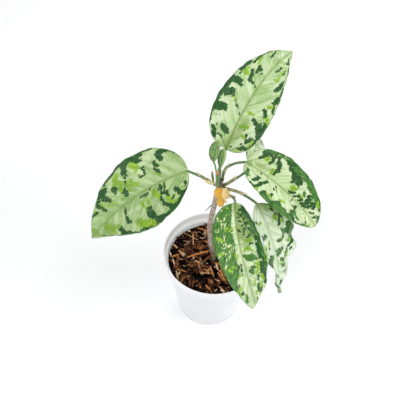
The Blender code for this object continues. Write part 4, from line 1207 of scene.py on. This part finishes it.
def bark():
    """Chopped bark: strips, splinters and crumbs thrown in layers on a plug of dark mix, painted near black
    as shade in the gaps.
    """
    dice = random.Random(BARK_SEED)
    limit = wall_radius(BARK_TOP, BARK_CLEAR)
    shape = Shape()
    plug = (*((radius, PLUG_TOP) for radius in np.arange(POLE_RADIUS, PLUG_REACH, PLUG_STEP)),
            (limit, PLUG_TOP - 0.6), (wall_radius(6, BARK_CLEAR), 6.0),
            (wall_radius(FLOOR, BARK_CLEAR) - 2, FLOOR + 0.3), (POLE_RADIUS, FLOOR + 0.3))
    points, faces = body(turned(plug, 96))
    lumps = np.array([noise.noise(Vector((x, y, 0.0)) * LUMPS) for x, y, _ in points])
    points[:, 2] += np.where(points[:, 2] > PLUG_TOP - 1, LUMP_HEIGHT * lumps, 0.0)
    # painted shade: the plug takes the black end of the bark tones, so the gaps between the strips read as
    # shadow
    shape.add(points, faces, tone=0.02 + 0.12 * lumps.clip(-0.15, 1), fibres=points * (1, 1, 0))

    def lay(middle, turn, size, tone, ragged=0.12):
        """Adds a strip, unless it would lie in the hollow, the trunk, the wall or too deep."""
        local, faces = body(chip(dice, size, ragged))
        points = local @ np.array(turn.to_matrix()).T + middle
        out = np.hypot(points[:, 0], points[:, 1])
        near = np.hypot(*(points[:, :2] - TRUNK_FOOT).T)
        hollow = np.hypot(middle[0] - HOLLOW[0], middle[1] - HOLLOW[1]) < HOLLOW_RADIUS
        if hollow or out.max() > limit or near.min() < TRUNK_CLEAR or points[:, 2].min() < BARK_FLOOR:
            return False
        shape.add(points, faces, tone=tone, fibres=local * (1, 1, 0) + (dice.uniform(0, 99), 0, 0))
        return True

    for start, end, width, tone, height in STRIPS:
        a, b = Vector(start), Vector(end)
        turn = Euler((dice.uniform(-0.3, 0.3), dice.uniform(-0.06, 0.06), np.arctan2(b.y - a.y, b.x - a.x)))
        lay((*((a + b) / 2), height), turn, ((b - a).length, width, STRIP_THICKNESS), tone, 0.08)
    for count, length, width, thickness, height, tilt in LAYERS:
        laid = 0
        while laid < count:
            angle = dice.uniform(0, 2 * pi)
            out = BARK_REACH * dice.random() ** 0.5
            middle = (out * cos(angle), out * sin(angle), dice.uniform(*height))
            turn = Euler((dice.gauss(0, tilt), dice.gauss(0, tilt * 0.6), dice.uniform(0, pi)))
            size = (dice.uniform(*length), dice.uniform(*width), dice.uniform(*thickness))
            laid += lay(middle, turn, size, dice.random() ** 1.5)
    shape.piece("bark_chips", bark_look(), "potting_bark", "potting_bark").data.shade_flat()


def trunk():
    """The bare cane, ringed with leaf scars and wrinkled lengthwise, with dried scales at its crown."""
    path, _ = smooth_path(TRUNK_POINTS, 260)
    walked = np.concatenate([[0], np.cumsum(np.linalg.norm(np.diff(path, axis=0), axis=1))])[:, None]
    share = walked / walked[-1]
    radius = TRUNK_RADIUS + (CROWN_RADIUS - TRUNK_RADIUS) * np.clip(share * 2 - 1, 0, 1)
    scars = walked / SCAR_SPACING + 0.22 * np.sin(walked / 5.3)
    angle = around_axis(40)
    lean = (scars + 0.5) % 1 - 0.5 + 0.06 * np.sin(angle + 3.9 * np.round(scars))
    ring = bump_at(lean, 0.06)
    groove = bump_at(lean - 0.14, 0.05)
    ridges = 0.035 * np.sin(angle * 9 + 2 * np.sin(walked / 7)) + 0.02 * np.sin(angle * 17 + 1)
    radii = radius * (1 + 0.06 * ring - 0.04 * groove + ridges * (1 - ring))
    shape = Shape()
    shape.wrap(rings(path, radii, 40, SIDEWAYS), ring=ring, groove=groove, height=share, dry=0.0)
    for scale in SCALES:
        shape.wrap(rounded(scale, 16, 16, 0.7)[0], ring=0.0, groove=0.0, height=1.0, dry=1.0)
    shape.piece("cane", trunk_look(), "trunk", "trunk")


def aerial_root():
    path, share = smooth_path(AERIAL_ROOT, 40)
    path[:, 2] += 0.15 * np.sin(share * 23)
    radii = AERIAL_ROOT_RADIUS * (1 - 0.45 * share) * (1 + 0.08 * np.sin(share * 40))
    Shape(rings(path, radii, 14)).piece("air_root", root_look(), "aerial_root", "aerial_root")


# Flowers

def flower_stalk():
    path, share = smooth_path(FLOWER_STALK, 60)
    share = share[:, None]
    angle = around_axis(32)
    flutes = 1 + 0.06 * np.cos(2 * angle) + 0.02 * np.sin(9 * angle)
    radii = FLOWER_STALK_RADIUS * (1.04 - 0.12 * np.sin(share * pi)) * flutes
    shape = Shape()
    # side: how near a point lies to the stalk's outline seen along FACING, where the sheen is painted
    shape.wrap(rings(path, radii, 32, FACING), side=np.abs(np.cos(angle)), share=share)
    shape.piece("stalk", stalk_look(), "flower_stalk", "flower_stalk")


def collar():
    grid, share = rounded(COLLAR, 28, 24)
    shape = Shape()
    shape.wrap(grid, share=share[:, None])
    shape.piece("collar", collar_look(), "dry_collar", "dry_collar")


def spathe(flower, look):
    """A closed spathe: its margin laps over itself in a slit, and it narrows to a nib."""
    shape = Shape()
    stalk, share = smooth_path(flower.stalk, 40)
    radii = PEDUNCLE_RADIUS * (1 + 0.25 * share ** 4)
    shape.wrap(rings(stalk, radii, 24, FACING), share=-0.2, slit=0.0, sun=0.0)
    rows = 64
    start = stalk[-1] - unit(stalk[-1] - stalk[-2]) * SPATHE_SEAT
    middle, end = np.array(flower.bulge, float), np.array(flower.tip, float)
    curve = arch(start, 2 * middle - (start + end) / 2, end, rows)
    share = even_ends(0.03, rows)
    path = np.stack([np.interp(share, np.linspace(0, 1, rows + 1), curve[:, axis]) for axis in range(3)], -1)
    share = share[:, None]
    swell = (4 * share * (1 - share)) ** 0.62
    angle = around_axis(72)
    turn = (angle - flower.slit - 0.5 * (share - 0.5)) % (2 * pi)
    step = 0.11 * np.exp(-turn / 0.9) - 0.10 * bump_at(turn - 2 * pi, 0.16)
    radii = flower.half_width * swell * (1.05 + step)
    # sun marks the flank painted lighter as light; slit marks the lap, painted dark as shade
    shape.wrap(rings(path, radii, 72, FACING, flower.half_depth / flower.half_width), share=share,
               slit=bump_at(turn - 2 * pi, 0.22) + bump_at(turn, 0.10), sun=np.cos(angle - 0.1))
    beyond = unit(end - middle)
    nib = Bud(end - 1.8 * beyond, end + 1.3 * beyond, 0.85, 0.8)
    shape.wrap(rounded(nib, 20, 16)[0], share=1.0, slit=0.0, sun=0.0)
    shape.piece(f"spathe_{flower.name}_body", look, f"spathe_{flower.name}", "spathe")


def withered_spathe():
    """The dried spathe: a hood, a cup and a beak grown together and wrinkled."""
    parts = ((WITHERED_DOME, 48), (WITHERED_CUP, 40), (WITHERED_BEAK, 24))
    shape = Shape(*(rounded(part, around)[0] for part, around in parts))
    piece = shape.piece("withered_hood", hood_look(), "withered_spathe", "withered_spathe")
    room = Shape(rounded(SPADIX, 48, 36, margin=BEAD_RADIUS + SPADIX_CLEAR)[0])
    together, even = ({"voxel_size": size * MM, "use_smooth_shade": True} for size in WITHERED_GRAIN)
    carve(piece, room, ("REMESH", together), ("BOOLEAN", {}), ("REMESH", even))
    swollen = []
    for corner in piece.data.vertices:
        place = corner.co / MM
        wrinkle = noise.fractal(place * Vector((0.9, 0.9, 0.28)), 0.6, 2.0, 3)
        near, _ = noise.voronoi(place * BLISTERS)
        swollen.append(min((near[1] - near[0]) * 1.6, 1.0))
        corner.co += corner.normal * ((0.5 * wrinkle + 0.28 * swollen[-1] - 0.10) * MM)
    attribute(piece, "swollen", swollen)


def spadix():
    """The spadix, with round beads in staggered rows."""
    dice = random.Random(BEAD_SEED)
    first, last = np.array(SPADIX.start, float), np.array(SPADIX.end, float)
    across = unit(np.cross(last - first, FACING))
    out = unit(np.cross(across, last - first))
    shape = Shape()
    shape.wrap(rounded(SPADIX, 36, 24)[0], tone=0.3)
    for row in range(BEAD_ROWS):
        t = (row + 0.5) / BEAD_ROWS
        ring = SPADIX.half_width * (4 * t * (1 - t)) ** 0.5
        beads = max(3, round(2 * pi * ring / (2.1 * BEAD_RADIUS)))
        for index in range(beads):
            angle = 2 * pi * (index + 0.5 * (row % 2)) / beads + dice.uniform(-0.1, 0.1)
            centre = first + (last - first) * t + across * (ring * cos(angle)) + out * (ring * sin(angle))
            radius = BEAD_RADIUS * dice.uniform(0.8, 1.0)
            bead = Bud(centre - out * radius, centre + out * radius, radius, radius)
            shape.wrap(rounded(bead, 20, 14)[0], tone=dice.random())
    shape.piece("spadix_beads", bead_look(), "withered_spadix", "withered_spadix")


def bract():
    """A limp dried bract with a green point and an amber drop."""
    shape = Shape()
    shape.wrap(rounded(BRACT_DROP, 24, 20)[0], green=0.0, amber=1.0)
    angle = around_axis(32)
    for part, green, blunt in ((BRACT_BODY, 0.0, 0.35), (BRACT_POINT, 1.0, 0.5)):
        grid, share = rounded(part, 32, 40, blunt)
        share = share[:, None]
        centre = grid.mean(1, keepdims=True)
        wrinkle = 1 + 0.10 * np.sin(3 * angle + 9 * share) + 0.05 * np.sin(7 * angle + 21 * share)
        shape.wrap(centre + (grid - centre) * wrinkle[..., None], green=green, amber=0.0)
    shape.piece("bract", bract_look(), "dry_bract", "dry_bract")


# Stage

def stage():
    """A plain pale floor, soft light all round, and the camera at the photograph's angle."""
    look = Look("floor", 0.9)
    look.paint(shade("floor"))
    bpy.ops.mesh.primitive_circle_add(vertices=96, radius=FLOOR_RADIUS, fill_type="NGON")
    floor = bpy.context.object
    floor.name = "floor"
    floor.data.materials.append(look.material)

    scene = bpy.context.scene
    scene.world = bpy.data.worlds.new("pale")
    scene.world.use_nodes = True
    sky = scene.world.node_tree.nodes["Background"]
    sky.inputs["Color"].default_value = (1.0, 1.0, 1.0, 1.0)
    sky.inputs["Strength"].default_value = SKY_STRENGTH
    for name, (place, size, power, tint) in LIGHTS.items():
        lamp = bpy.data.lights.new(name, "AREA")
        lamp.shape = "DISK"
        lamp.size = size
        lamp.energy = power
        lamp.color = tint
        item = bpy.data.objects.new(name, lamp)
        scene.collection.objects.link(item)
        item.location = place
        item.rotation_mode = "QUATERNION"
        item.rotation_quaternion = (LIGHT_TARGET - item.location).to_track_quat("-Z", "Y")

    data = bpy.data.cameras.new("camera")
    data.lens = CAMERA_LENS
    data.sensor_width = 36.0
    camera = bpy.data.objects.new("camera", data)
    scene.collection.objects.link(camera)
    axes = Matrix((CAMERA_RIGHT, CAMERA_UP, CAMERA_RIGHT.cross(CAMERA_UP)))
    camera.matrix_world = axes.transposed().to_4x4()
    camera.location = CAMERA_PLACE
    scene.camera = camera
    scene.view_settings.view_transform = "Standard"


stage()
pot()
bark()
trunk()
aerial_root()
green_look, papery_look, closed_look = petiole_look(), sheath_look(), spathe_look()
for one in LEAVES:
    blade(one)
    petiole(one, green_look)
    sheath(one, papery_look)
flower_stalk()
collar()
for one in SPATHES:
    spathe(one, closed_look)
withered_spathe()
spadix()
bract()
